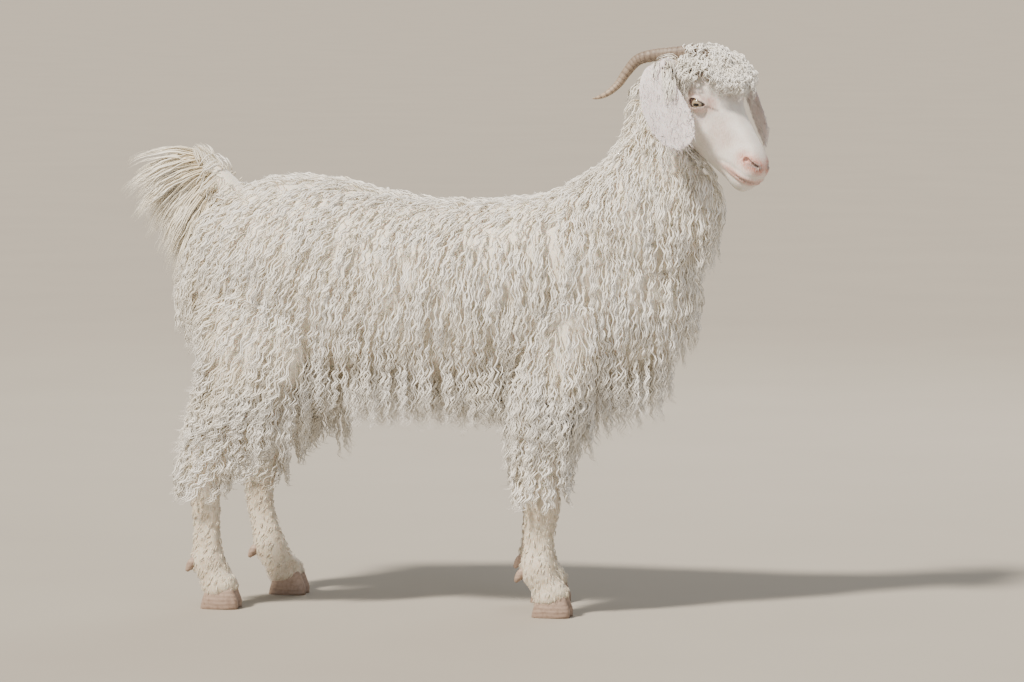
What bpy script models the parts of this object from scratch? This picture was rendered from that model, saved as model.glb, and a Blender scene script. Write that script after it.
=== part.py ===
"""Angora goat, standing square with its head turned to its right: a still, life-size model.

Metres, +Z up, nose towards +X, the goat's left towards +Y. The origin is on the floor, under
the middle of the model. Body, neck and upper legs are made whole, as lofts with locks fused on,
and then parted into nodes by thin cuts. Head, ears, horns, tail and hooves are made apart, and
each is let into what it grows from, with a thin gap all round.
"""

import math
import random
from collections import namedtuple

import bmesh
import bpy
from mathutils import Matrix, Vector
from mathutils.bvhtree import BVHTree

MM = 0.001
GAP = 0.0004
UP = Vector((0, 0, 1))
LEFT = Vector((0, 1, 0))

# The whole animal
MIDDLE_SHIFT = Vector((0.0164, -0.0028, 0.0))
WITHERS_HEIGHT = 0.665
HALF_GIRTH = 0.150
TRACK_FRONT = 0.082
TRACK_HIND = 0.092
HOOF_HEIGHT = 0.030

# The head: its own frame has u along the bridge of the nose, v to the goat's left, w out of the brow
HEAD_PITCH = math.radians(52)
HEAD_TURN = math.radians(30)
POLL = Vector((0.400, -0.010, 0.863))
EYE_RADIUS = 13.5 * MM
EYE_PLACE = (64, 40.5, -27)
LID_SLANT = math.radians(30)

# The coat. A lock has its length, half width and thickness, how far its tip stands off, how far
# it waves to the sides and how many bends it has. Roots are spaced along and round what it grows on.
Lock = namedtuple("Lock", "length half_width thick lift wave bends along round")
TRUNK_LOCK = Lock(0.138, 0.047, 0.020, 0.022, 0.010, 3, 0.090, 0.104)
SPINE_LOCK = Lock(0.110, 0.044, 0.016, 0.000, 0.006, 3, 0.092, 0.0)
NECK_LOCK = Lock(0.112, 0.036, 0.016, 0.020, 0.007, 3, 0.084, 0.076)
POLL_LOCK = Lock(0.048, 0.016, 0.015, 0.024, 0.004, 3, 0.0, 0.0)
TAIL_LOCK = Lock(0.182, 0.019, 0.011, 0.0, 0.003, 4, 0.0, 0.0)
LEG_COAT = 0.020
FLEECE_HEM = 0.185
SPINE_LOCKS = 7
LOCKS_SEED = 18
SINK = 0.010
MERGE_ANGLE = math.radians(3.0)
SAME_PLANE = math.radians(0.03)
SAME_PLACE = 0.002 * MM

# Colour, roughness and metallic value of each surface
Finish = namedtuple("Finish", "colour roughness metallic")
FINISHES = {
    "mohair": Finish((0.84, 0.81, 0.73), 0.85, 0.0),
    "short_hair": Finish((0.83, 0.80, 0.76), 0.80, 0.0),
    "ear_skin": Finish((0.82, 0.74, 0.71), 0.75, 0.0),
    "horn": Finish((0.42, 0.29, 0.19), 0.60, 0.0),
    "hoof": Finish((0.58, 0.41, 0.30), 0.55, 0.0),
    "eye": Finish((0.35, 0.27, 0.16), 0.15, 0.0),
}
SHARP_ANGLE = math.radians(35)

Row = namedtuple("Row", "x y z side up down")


def clear_scene():
    for thing in list(bpy.data.objects):
        bpy.data.objects.remove(thing)


def make_material(name):
    finish = FINISHES[name]
    material = bpy.data.materials.new(name)
    material.use_nodes = True
    shader = material.node_tree.nodes["Principled BSDF"]
    shader.inputs["Base Color"].default_value = (*finish.colour, 1)
    shader.inputs["Roughness"].default_value = finish.roughness
    shader.inputs["Metallic"].default_value = finish.metallic
    material.diffuse_color = (*finish.colour, 1)
    return material


def new_collection(name):
    found = bpy.data.collections.new(name)
    bpy.context.scene.collection.children.link(found)
    return found


def closed_object(name, points, faces, collection):
    """A mesh object from points and faces, with its faces turned outwards."""
    mesh = bpy.data.meshes.new(name)
    mesh.from_pydata([tuple(p) for p in points], [], faces)
    shape = bmesh.new()
    shape.from_mesh(mesh)
    bmesh.ops.recalc_face_normals(shape, faces=shape.faces)
    shape.to_mesh(mesh)
    shape.free()
    made = bpy.data.objects.new(name, mesh)
    collection.objects.link(made)
    return made


def loft(name, rings, collection):
    """A closed skin over rings that all have the same number of points."""
    count = len(rings[0])
    points = [p for ring in rings for p in ring]
    faces = [tuple(range(count))]
    for r in range(len(rings) - 1):
        for k in range(count):
            after = (k + 1) % count
            low, high = r * count, (r + 1) * count
            faces.append((low + k, low + after, high + after))
            faces.append((low + k, high + after, high + k))
    faces.append(tuple(range((len(rings) - 1) * count, len(rings) * count)))
    return closed_object(name, points, faces, collection)


def smooth_rows(rows, between):
    """Rows on a Catmull-Rom curve through the rows given, with this many steps from each to the next."""
    out = []
    for i in range(len(rows) - 1):
        a, b, c, d = (rows[max(0, min(len(rows) - 1, i + k))] for k in (-1, 0, 1, 2))
        for step in range(between):
            t = step / between
            out.append(tuple(
                0.5 * (2 * q + (r - p) * t + (2 * p - 5 * q + 4 * r - s) * t * t
                       + (3 * q - p - 3 * r + s) * t ** 3)
                for p, q, r, s in zip(a, b, c, d)))
    out.append(tuple(rows[-1]))
    return out


def oval(centre, side_axis, up_axis, row, sides, grow=0.0, square=2.25):
    """One ring: a superellipse, with its own half height above and below the centre."""
    ring = []
    for k in range(sides):
        angle = 2 * math.pi * (k + 0.5) / sides
        c, s = math.cos(angle), math.sin(angle)
        across = math.copysign(abs(c) ** (2 / square), c) * (row.side + grow)
        height = (row.up if s > 0 else row.down) + grow
        ring.append(centre + side_axis * across
                    + up_axis * math.copysign(abs(s) ** (2 / square), s) * height)
    return ring


def axis_frames(rows, side_axis=LEFT):
    """(row, centre, side axis, up axis) along a line of rows: up is to the front on a leg that goes down."""
    centres = [Vector(row[:3]) for row in rows]
    frames = []
    for i, row in enumerate(rows):
        ahead = centres[min(i + 1, len(rows) - 1)] - centres[max(i - 1, 0)]
        ahead.normalize()
        up = ahead.cross(side_axis).normalized()
        frames.append((Row(*row), centres[i], up.cross(ahead).normalized(), up))
    return frames


def limb(name, rows, sides, collection, between=2, grow=0.0, side_axis=LEFT):
    """A loft of ovals along a line: the trunk, the neck, a leg, a horn, a claw or the dock of the tail."""
    frames = axis_frames(smooth_rows(rows, between), side_axis)
    rings = [oval(centre, side, up, row, sides, grow) for row, centre, side, up in frames]
    if grow:
        first = (frames[0][1] - frames[1][1]).normalized() * grow
        last = (frames[-1][1] - frames[-2][1]).normalized() * grow
        rings[0] = [p + first for p in rings[0]]
        rings[-1] = [p + last for p in rings[-1]]
    return loft(name, rings, collection)


def boolean(target, operation, operand):
    """Applies one Boolean to target. operand is an object or a collection, and is removed afterwards.

    The manifold solver keeps bodies closed where a hundred locks cross, which the exact one doesn't.
    """
    modifier = target.modifiers.new("join or cut", "BOOLEAN")
    modifier.operation = operation
    modifier.solver = "MANIFOLD"
    if isinstance(operand, bpy.types.Collection):
        modifier.operand_type = "COLLECTION"
        modifier.collection = operand
        used = list(operand.objects)
    else:
        modifier.object = operand
        used = [operand]
    graph = bpy.context.evaluated_depsgraph_get()
    mesh = bpy.data.meshes.new_from_object(target.evaluated_get(graph))
    target.modifiers.clear()
    target.data = mesh
    for thing in used:
        bpy.data.objects.remove(thing)
    return target


def keep_largest(target):
    """Keeps the largest closed surface, so that loose scraps and sealed hollows go, and mends slivers."""
    shape = bmesh.new()
    shape.from_mesh(target.data)
    unseen = set(shape.faces)
    groups = []
    while unseen:
        group = {unseen.pop()}
        edge = list(group)
        while edge:
            face = edge.pop()
            for side in face.edges:
                for other in side.link_faces:
                    if other in unseen:
                        unseen.remove(other)
                        group.add(other)
                        edge.append(other)
        groups.append(group)
    groups.sort(key=lambda group: sum(face.calc_area() for face in group))
    scraps = [face for group in groups[:-1] for face in group]
    bmesh.ops.delete(shape, geom=scraps, context="FACES")
    bmesh.ops.remove_doubles(shape, verts=shape.verts, dist=SAME_PLACE)
    bmesh.ops.dissolve_limit(shape, angle_limit=SAME_PLANE, verts=shape.verts, edges=shape.edges)
    bmesh.ops.triangulate(shape, faces=shape.faces)
    shape.to_mesh(target.data)
    shape.free()
    return target


def merge_flats(target):
    """Merges neighbouring facets that lie almost in one plane."""
    shape = bmesh.new()
    shape.from_mesh(target.data)
    bmesh.ops.dissolve_limit(shape, angle_limit=MERGE_ANGLE, verts=shape.verts, edges=shape.edges)
    bmesh.ops.triangulate(shape, faces=shape.faces)
    shape.to_mesh(target.data)
    shape.free()
    return target


def copy_of(source, name, collection):
    made = bpy.data.objects.new(name, source.data.copy())
    collection.objects.link(made)
    return made


def box(name, low, high, collection, turn=None):
    """A plain block between two corners, in the world or in a frame of its own."""
    shape = bmesh.new()
    bmesh.ops.create_cube(shape, size=1)
    mesh = bpy.data.meshes.new(name)
    shape.to_mesh(mesh)
    shape.free()
    low, high = Vector(low), Vector(high)
    placing = Matrix.Translation((low + high) / 2) @ Matrix.Diagonal((*(high - low), 1))
    mesh.transform(turn @ placing if turn else placing)
    made = bpy.data.objects.new(name, mesh)
    collection.objects.link(made)
    return made


def beyond(point, normal, collection, start=GAP / 2, reach=1.5):
    """A block that fills the space past a plane."""
    turn = Vector(normal).to_track_quat("Z", "Y").to_matrix().to_4x4()
    placing = Matrix.Translation(Vector(point)) @ turn
    return box("beyond", (-reach, -reach, start), (reach, reach, reach), collection, placing)


def surface_of(target):
    mesh = target.data
    return BVHTree.FromPolygons([v.co for v in mesh.vertices], [tuple(p.vertices) for p in mesh.polygons])


# Trunk, neck and legs

TRUNK = [
    (-0.412, 0, 0.535, 0.030, 0.050, 0.050),
    (-0.398, 0, 0.530, 0.078, 0.098, 0.100),
    (-0.360, 0, 0.525, 0.112, 0.128, 0.130),
    (-0.300, 0, 0.520, 0.130, 0.153, 0.150),
    (-0.220, 0, 0.515, 0.142, 0.160, 0.155),
    (-0.130, 0, 0.505, HALF_GIRTH, 0.153, 0.157),
    (-0.040, 0, 0.500, HALF_GIRTH, 0.142, 0.155),
    (0.050, 0, 0.500, 0.146, 0.141, 0.158),
    (0.130, 0, 0.500, 0.134, WITHERS_HEIGHT - 0.515, 0.160),
    (0.200, 0, 0.500, 0.118, 0.150, 0.154),
    (0.260, 0, 0.500, 0.100, 0.130, 0.144),
    (0.305, 0, 0.505, 0.080, 0.100, 0.116),
    (0.342, 0, 0.515, 0.054, 0.070, 0.072),
    (0.364, 0, 0.525, 0.028, 0.035, 0.034),
]

NECK = [
    (0.160, 0, 0.545, 0.090, 0.105, 0.120),
    (0.230, 0, 0.580, 0.090, 0.100, 0.135),
    (0.285, 0, 0.630, 0.080, 0.088, 0.130),
    (0.315, 0, 0.688, 0.066, 0.068, 0.114),
    (0.330, 0.001, 0.735, 0.054, 0.056, 0.043),
    (0.340, 0.004, 0.785, 0.044, 0.054, 0.034),
    (0.348, 0.008, 0.835, 0.030, 0.042, 0.028),
]

FORELEG = [
    (0.185, -0.010, 0.470, 0.040, 0.060, 0.060),
    (0.180, 0.004, 0.400, 0.040, 0.056, 0.058),
    (0.166, 0.008, 0.330, 0.035, 0.045, 0.046),
    (0.158, 0.004, 0.260, 0.029, 0.035, 0.037),
    (0.154, 0.002, 0.205, 0.024, 0.027, 0.029),
    (0.155, 0.001, 0.172, 0.026, 0.029, 0.027),
    (0.152, 0.000, 0.138, 0.021, 0.024, 0.024),
    (0.151, 0.000, 0.105, 0.020, 0.022, 0.024),
    (0.153, 0.000, 0.072, 0.025, 0.026, 0.031),
    (0.162, 0.000, 0.050, 0.023, 0.024, 0.025),
    (0.169, 0.000, 0.033, 0.026, 0.030, 0.028),
    (0.172, 0.000, 0.022, 0.024, 0.026, 0.026),
]

HINDLEG = [
    (-0.291, -0.020, 0.480, 0.040, 0.080, 0.080),
    (-0.296, 0.004, 0.410, 0.048, 0.088, 0.082),
    (-0.312, 0.008, 0.345, 0.042, 0.068, 0.066),
    (-0.346, 0.004, 0.285, 0.030, 0.045, 0.044),
    (-0.373, 0.002, 0.235, 0.023, 0.030, 0.033),
    (-0.379, 0.001, 0.198, 0.021, 0.024, 0.028),
    (-0.378, 0.000, 0.150, 0.018, 0.021, 0.022),
    (-0.377, 0.000, 0.110, 0.018, 0.020, 0.022),
    (-0.374, 0.000, 0.076, 0.022, 0.024, 0.028),
    (-0.365, 0.000, 0.052, 0.022, 0.024, 0.025),
    (-0.358, 0.000, 0.034, 0.025, 0.030, 0.028),
    (-0.355, 0.000, 0.022, 0.023, 0.026, 0.026),
]

# A hind leg placed further forward: how far the stifle, hock, fetlock and foot move, by height
STEP_HEIGHTS = ((0.48, 0.0), (0.345, 0.036), (0.235, 0.040), (0.150, 0.038), (0.076, 0.052), (0.0, 0.065))

Leg = namedtuple("Leg", "name rows track left step low_cut high_cut")
LEGS = [
    Leg("foreleg_right", FORELEG, TRACK_FRONT, False, 0.0, (0.078, 0.252), 0.342),
    Leg("foreleg_left", FORELEG, TRACK_FRONT, True, -0.036, (0.040, 0.225), 0.342),
    Leg("hindleg_right", HINDLEG, TRACK_HIND, False, 0.0, (-0.470, -0.215), 0.362),
    Leg("hindleg_left", HINDLEG, TRACK_HIND, True, None, (-0.440, -0.160), 0.362),
]


def step_at(height):
    """How far forward the stepping hind leg is, at a height above the floor."""
    for (high, far), (low, near) in zip(STEP_HEIGHTS, STEP_HEIGHTS[1:]):
        if height >= low:
            share = min(1.0, (height - low) / (high - low))
            return near + (far - near) * share * share * (3 - 2 * share)
    return STEP_HEIGHTS[-1][1]


def leg_rows(leg):
    """The rows of one leg, out at its track on its own side and moved by its step."""
    sign = 1 if leg.left else -1
    rows = []
    for x, out, z, side, front, back in leg.rows:
        step = step_at(z) if leg.step is None else leg.step * min(1.0, (0.48 - z) / 0.2)
        rows.append((x + step, sign * (leg.track + out), z, side, front, back))
    return rows


def with_coat(rows):
    """Leg rows let out by the depth of the coat, above its hem."""
    out = []
    for x, y, z, side, front, back in rows:
        depth = LEG_COAT if z > FLEECE_HEM else 0.0
        out.append((x, y, z, side + depth, front + depth, back + depth))
    return out


def claw_rows(leg, sign, grow):
    """One claw of a cloven hoof, from its sole up into the foot."""
    x, y, _, _, _, _ = leg_rows(leg)[-1]
    out = y + sign * (0.0125 + grow * 0.2)
    tall = HOOF_HEIGHT
    return [
        (x + 0.003, out, 0.0, 0.0110, 0.034, 0.027),
        (x + 0.002, out, 0.008, 0.0115, 0.032, 0.028),
        (x + 0.001, out, tall * 0.6, 0.0110, 0.028, 0.026),
        (x, out, tall, 0.0095, 0.022, 0.022),
        (x - 0.002, out, tall + 0.006, 0.0060, 0.014, 0.014),
    ]


def make_claw(name, leg, sign, collection, grow=0.0):
    """A claw with a flat sole on the floor."""
    rows = claw_rows(leg, sign, grow)
    made = limb(name, rows, 8, collection, between=1, grow=grow)
    if not grow:
        for vertex in made.data.vertices:
            vertex.co.z = max(vertex.co.z, 0.0)
        flatten_sole(made)
    return made


def flatten_sole(claw):
    """Sets the lowest ring level with the floor."""
    lowest = sorted(claw.data.vertices, key=lambda vertex: vertex.co.z)[:8]
    for vertex in lowest:
        vertex.co.z = 0.0


def dewclaw_rows(leg, sign):
    """A small claw at the back of the fetlock."""
    fetlock = leg_rows(leg)[-4]
    x, y, z = fetlock[0] - fetlock[5] + 0.006, fetlock[1] + sign * 0.010, fetlock[2] - 0.006
    return [
        (x + 0.004, y, z + 0.008, 0.0050, 0.0055, 0.0055),
        (x - 0.004, y, z + 0.001, 0.0060, 0.0065, 0.0065),
        (x - 0.009, y, z - 0.007, 0.0050, 0.0050, 0.0050),
        (x - 0.012, y, z - 0.012, 0.0025, 0.0025, 0.0025),
    ]


# Coat

def lie_of(point, normal):
    """Where the coat points: down, a little back, more so on the rump and along the spine."""
    flat = max(0.0, normal.z) ** 2
    back = min(0.6, max(0.06, 0.26 - 1.1 * (point.x + 0.10))) + 0.5 * flat
    aside = math.copysign(min(1.0, abs(point.y) / 0.07), point.y)
    way = Vector((-back, aside * 0.9 * flat, -1.0))
    way -= normal * way.dot(normal)
    return way.normalized()


def trail(surface, root, normal, kind, draw):
    """Points and outward directions down a lock that follows the body, then hangs free below it."""
    step = kind.length / kind.bends
    phase = draw.uniform(0, 2 * math.pi)
    twist = Matrix.Rotation(draw.uniform(-0.15, 0.15), 3, normal)
    roll = draw.uniform(-0.25, 0.25)
    way = (twist @ lie_of(root, normal)).normalized()
    point = root.copy()
    points, outs = [root - normal * SINK], [normal]
    for k in range(1, kind.bends + 1):
        share = k / kind.bends
        ahead = point + way * step
        near, out, _, _ = surface.find_nearest(ahead)
        if out.z < -0.35:
            way = (way * 0.5 - UP).normalized()
            point = ahead
            out = outs[-1]
        else:
            point = near
            way = (lie_of(near, out) * 0.6 + (way - out * way.dot(out)) * 0.4).normalized()
        sway = way.cross(out).normalized() * kind.wave * math.sin(phase + share * 6.0)
        points.append(point + out * kind.lift * (0.2 + 0.8 * share) + sway)
        outs.append((out + outs[-1] + way.cross(out) * roll).normalized())
    return points, outs


def lock_points(points, outs, kind, narrow, grow):
    """The corners of a flat, tapered lock: three a ring, with its ridge outwards, and a tip.

    Its thin edges and its tip move out by more than grow, so that every face moves out by grow.
    """
    rings = []
    last = len(points) - 1
    for i in range(last):
        share = i / last
        ahead = (points[i + 1] - points[max(0, i - 1)]).normalized()
        across = ahead.cross(outs[i]).normalized()
        full = math.sin(math.pi * min(1.0, 0.28 + 0.72 * share)) ** 0.7
        half = kind.half_width * narrow * max(0.22, full) + grow * 4
        thick = kind.thick * (0.55 + 0.45 * full)
        rings.append([
            points[i] + across * half - outs[i] * (thick * 0.35 + grow),
            points[i] + outs[i] * (thick * 0.65 + grow * 1.3),
            points[i] - across * half - outs[i] * (thick * 0.35 + grow),
        ])
    tip = points[last] + (points[last] - points[last - 1]).normalized() * grow * 6
    return [p for ring in rings for p in ring] + [tip]


def crosses_itself(points, faces):
    """Whether two faces that share no corner meet."""
    tree = BVHTree.FromPolygons(points, faces)
    return any(not set(faces[a]) & set(faces[b]) for a, b in tree.overlap(tree))


def lock_mesh(name, points, outs, kind, collection, grow=0.0):
    """One lock, made narrower where a sharp bend would make it pass through itself."""
    last = len(points) - 1
    faces = [(0, 1, 2)]
    for r in range(last - 1):
        for k in range(3):
            after = (k + 1) % 3
            faces.append((r * 3 + k, r * 3 + after, r * 3 + 3 + after))
            faces.append((r * 3 + k, r * 3 + 3 + after, r * 3 + 3 + k))
    for k in range(3):
        faces.append(((last - 1) * 3 + k, (last - 1) * 3 + (k + 1) % 3, last * 3))
    narrow = 1.0
    while narrow > 0.4 and crosses_itself(lock_points(points, outs, kind, narrow, GAP), faces):
        narrow -= 0.1
    return closed_object(name, lock_points(points, outs, kind, narrow, grow), faces, collection)


def stations(rows, spacing):
    """Frames at even spacing along a line of rows."""
    frames = axis_frames(smooth_rows(rows, 8))
    out, left = [frames[0]], spacing
    for before, after in zip(frames, frames[1:]):
        left -= (after[1] - before[1]).length
        if left <= 0:
            out.append(after)
            left = spacing
    return out


def lock_at(surface, start, way, reach, kind, collection, draw, size=1.0):
    """One lock, rooted where a ray from inside the body leaves it."""
    hit, normal, _, far = surface.ray_cast(start, way)
    if not hit or far > reach:
        return
    size *= draw.uniform(0.88, 1.12) * trunk_size(hit)
    own = kind._replace(
        length=kind.length * size,
        half_width=kind.half_width * draw.uniform(0.92, 1.08),
        thick=kind.thick * draw.uniform(0.85, 1.15),
    )
    lock_mesh("lock", *trail(surface, hit, normal, own, draw), own, collection)


def grow_locks(surface, rows, kind, low, high, collection, draw):
    """Locks in staggered rings round a line of rows, on both sides, from one angle to another."""
    for i, (row, centre, side, up) in enumerate(stations(rows, kind.along)):
        girth = (row.side + (row.up + row.down) / 2) / 2
        count = max(2, round((high - low) * girth / kind.round))
        for k in range(count):
            share = (k + (0.75 if i % 2 else 0.25)) / count
            for hand in (-1, 1):
                angle = low + (high - low) * share + draw.uniform(-0.06, 0.06)
                way = side * math.cos(angle) * hand + up * math.sin(angle)
                start = centre + up.cross(side) * draw.uniform(-0.1, 0.1) * kind.along
                lock_at(surface, start, way, 1.3 * max(row.side, row.up, row.down), kind, collection, draw)


def trunk_size(point):
    """Locks are shorter at the front of the chest, and low on the flanks, where they would hang far."""
    if point.z < 0.33:
        return 1.0
    forward = min(1.0, max(0.0, (point.x - 0.22) / 0.12))
    below_neck = min(1.0, max(0.0, (0.58 - point.z) / 0.08))
    low = min(1.0, max(0.0, (0.44 - point.z) / 0.06))
    return (1.0 - 0.40 * forward * below_neck) * (1.0 - 0.35 * low)


def make_coat(surface, collection):
    """The locks of trunk and neck."""
    draw = random.Random(LOCKS_SEED)
    turn = math.radians
    grow_locks(surface, TRUNK[1:-2], TRUNK_LOCK, turn(-70), turn(76), collection, draw)
    for k in range(SPINE_LOCKS):
        start = Vector((-0.33 + SPINE_LOCK.along * k, 0.008 * (-1) ** k, 0.50))
        lock_at(surface, start, UP, 0.3, SPINE_LOCK, collection, draw)
    for height, turns in ((0.0, (-0.8, -0.27, 0.27, 0.8)), (0.45, (-1.0, -0.5, 0.0, 0.5, 1.0))):
        for turn_out in turns:
            way = Vector((1.0, turn_out, height - 0.15)).normalized()
            lock_at(surface, Vector((0.22, 0, 0.45)), way, 0.3, NECK_LOCK, collection, draw)
    grow_locks(surface, NECK[2:-2], NECK_LOCK, turn(-80), turn(80), collection, draw)


# Head

def head_frame():
    """Takes a point in the head's frame, in metres, into the world."""
    pitch, turn = HEAD_PITCH, HEAD_TURN
    u = Vector((math.cos(pitch) * math.cos(turn), -math.cos(pitch) * math.sin(turn), -math.sin(pitch)))
    v = Vector((math.sin(turn), math.cos(turn), 0))
    w = u.cross(v)
    placing = Matrix((u, v, w)).transposed().to_4x4()
    return Matrix.Translation(POLL) @ placing


HEAD = head_frame()
HEAD_LEFT = HEAD.to_3x3() @ LEFT


def at_head(u, v, w):
    """A point given in millimetres in the head's frame."""
    return HEAD @ (Vector((u, v, w)) * MM)


# Sections of the head, in millimetres: place along u, top, brow corner, cheek, jaw corner, bottom
HEAD_SECTIONS = [
    (-10, -24, 18, -32, 26, -56, 20, -84, -94),
    (2, -8, 31, -15, 39, -50, 27, -92, -104),
    (24, 4, 40, -6, 45, -48, 31, -98, -112),
    (46, 9, 46, -6, 47, -50, 32, -98, -113),
    (66, 8, 47, -11, 46, -52, 31, -95, -109),
    (88, 4, 34, -11, 43, -52, 29, -90, -104),
    (112, 1, 24, -9, 36, -48, 26, -84, -98),
    (138, 0, 19, -8, 30, -44, 23, -77, -90),
    (162, -1, 17, -8, 27, -40, 20, -70, -82),
    (182, -4, 18, -10, 26, -36, 18, -66, -77),
    (196, -9, 17, -15, 23, -35, 16, -62, -73),
    (204, -15, 13, -20, 18, -36, 13, -58, -68),
    (209, -23, 7, -26, 10, -38, 7, -52, -59),
]


def head_ring(row, grow):
    """One closed section of the head, mirrored about the middle."""
    u, top, brow, brow_w, cheek, cheek_w, jaw, jaw_w, bottom = row
    half = [(0, top), (brow, brow_w), (cheek, cheek_w), (jaw, jaw_w), (0, bottom)]
    full = half + [(-v, w) for v, w in reversed(half[1:-1])]
    ring = []
    count = len(full)
    for i in range(count):
        a, b, c, d = (full[(i + k) % count] for k in (-1, 0, 1, 2))
        for t in (0.0, 0.5):
            v, w = (0.5 * (2 * q + (r - p) * t + (2 * p - 5 * q + 4 * r - s) * t * t
                           + (3 * q - p - 3 * r + s) * t ** 3) for p, q, r, s in zip(a, b, c, d))
            out = Vector((0, v, w + 45)).normalized() * grow / MM
            ring.append(at_head(u, v + out.y, w + out.z))
    return ring


def head_core(collection, grow=0.0):
    rows = smooth_rows(HEAD_SECTIONS, 2)
    rings = [head_ring(row, grow) for row in rows]
    if grow:
        rings[-1] = [p + HEAD.to_3x3() @ Vector((grow, 0, 0)) for p in rings[-1]]
    return loft("head", rings, collection)


def ball(name, place, radius, collection, segments=14, stretch=(1, 1, 1)):
    """A ball or an egg in the head's frame."""
    shape = bmesh.new()
    bmesh.ops.create_uvsphere(shape, u_segments=segments, v_segments=segments // 2 + 1, radius=radius)
    mesh = bpy.data.meshes.new(name)
    shape.to_mesh(mesh)
    shape.free()
    mesh.transform(HEAD @ Matrix.Translation(Vector(place) * MM) @ Matrix.Diagonal((*stretch, 1)))
    made = bpy.data.objects.new(name, mesh)
    collection.objects.link(made)
    return made


def head_tube(name, rows, sides, collection, between=2, grow=0.0):
    """A limb whose rows are millimetres in the head's frame."""
    world = []
    for u, v, w, side, up, down in rows:
        world.append((*at_head(u, v, w), side * MM, up * MM, down * MM))
    return limb(name, world, sides, collection, between, grow, HEAD_LEFT)


def lid_opening(hand, collection):
    """The almond that opens the lids, longer in front, where it runs out in the tear duct."""
    u, v, w = EYE_PLACE
    slant = Matrix.Rotation(LID_SLANT, 2)
    rings = []
    for out in (3, 26):
        ring = []
        for k in range(14):
            angle = 2 * math.pi * k / 14
            along = 12.0 * math.cos(angle)
            high = 6.8 * math.sin(angle)
            if along > 10.0:
                along += 6.0
            across = slant @ Vector((along, high))
            ring.append(at_head(u + across.x, hand * (v + out), w + across.y))
        rings.append(ring)
    return loft("lid_opening", rings, collection)


def nostril(hand, collection):
    """A comma-shaped slit that runs forward and in, wide at its back end."""
    rows = [
        (176, hand * 29.0, -18, 3.0, 3.0, 3.0),
        (181, hand * 24.0, -19, 4.5, 4.2, 4.6),
        (188, hand * 19.0, -21, 4.5, 2.6, 3.4),
        (197, hand * 14.5, -23, 4.5, 2.0, 2.4),
        (206, hand * 11.5, -25, 4.0, 1.6, 1.6),
    ]
    return head_tube("nostril", rows, 6, collection, between=1)


# The line of the mouth, in the head's frame: from its corner to the middle of the lips
MOUTH = [
    (154, 34, -64),
    (166, 30, -57.5),
    (178, 28, -52),
    (190, 26, -47),
    (200, 22, -43),
    (208, 15, -40),
    (214, 0, -38.5),
]
LIPS_APART = 0.9
MOUTH_DEPTH = 8


def mouth_cut(collection):
    """The line of the mouth: a thin curved sheet that cuts in from both sides and the front."""
    line = MOUTH + [(u, -v, w) for u, v, w in reversed(MOUTH[:-1])]
    rings = []
    for u, v, w in line:
        deep = Vector((-0.45, -math.copysign(min(1.0, abs(v) / 18), v), -0.12)).normalized() * MOUTH_DEPTH
        outer = Vector((u, v, w)) - deep * 0.35
        inner = Vector((u, v, w)) + deep
        lift = Vector((0.30, 0, 0.95)) * LIPS_APART
        rings.append([at_head(*p) for p in (outer - lift, outer + lift, inner + lift, inner - lift)])
    return loft("mouth_cut", rings, collection)


EAR = [
    (12, 34, -30, 11.0, 10.0, 10.0),
    (2, 56, -23, 11.5, 10.0, 10.0),
    (-5, 79, -22, 13.0, 8.0, 8.0),
    (0, 95, -27, 18.0, 5.5, 5.5),
    (24, 104, -36, 28.0, 3.4, 3.4),
    (60, 104, -44, 34.0, 2.4, 2.4),
    (94, 100, -49, 31.0, 2.0, 2.0),
    (118, 97, -51, 22.0, 1.7, 1.7),
    (129, 95, -52, 10.0, 1.4, 1.4),
]
EAR_BEND = math.radians(37)


def ear_ring(row, ahead, hand, grow, sides=10):
    """A flat ring of the ear, its back edge curled in, so that the ear is a long cup."""
    u, v, w, half, out, inner = row
    flat = Vector((0, -hand * math.sin(EAR_BEND), math.cos(EAR_BEND)))
    flat = (flat - ahead * flat.dot(ahead)).normalized()
    face = ahead.cross(flat).normalized() * hand
    centre = Vector((u, hand * v, w))
    cup = 0.30 * max(0.0, 1 - out / 10)
    ring = []
    for k in range(sides):
        angle = 2 * math.pi * k / sides
        across = math.cos(angle)
        rise = math.sin(angle)
        thick = rise * (out if rise > 0 else inner) + math.copysign(grow / MM, rise)
        sag = -cup * half * across * across
        edge = half * across + math.copysign(grow / MM, across)
        ring.append(centre + flat * edge + face * (thick + sag))
    return [HEAD @ (p * MM) for p in ring]


def make_ear(name, hand, collection, grow=0.0):
    """An ear that leaves the head sideways as a tube, turns down and opens into a broad cup."""
    rows = smooth_rows(EAR, 2)
    centres = [Vector((r[0], hand * r[1], r[2])) for r in rows]
    rings = []
    for i, row in enumerate(rows):
        ahead = (centres[min(i + 1, len(rows) - 1)] - centres[max(0, i - 1)]).normalized()
        rings.append(ear_ring(row, ahead, hand, grow))
    if grow:
        turn = HEAD.to_3x3()
        first = turn @ (centres[0] - centres[1]).normalized() * grow
        last = turn @ (centres[-1] - centres[-2]).normalized() * grow * 3
        rings[0] = [p + first for p in rings[0]]
        rings[-1] = [p + last for p in rings[-1]]
    return loft(name, rings, collection)


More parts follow.
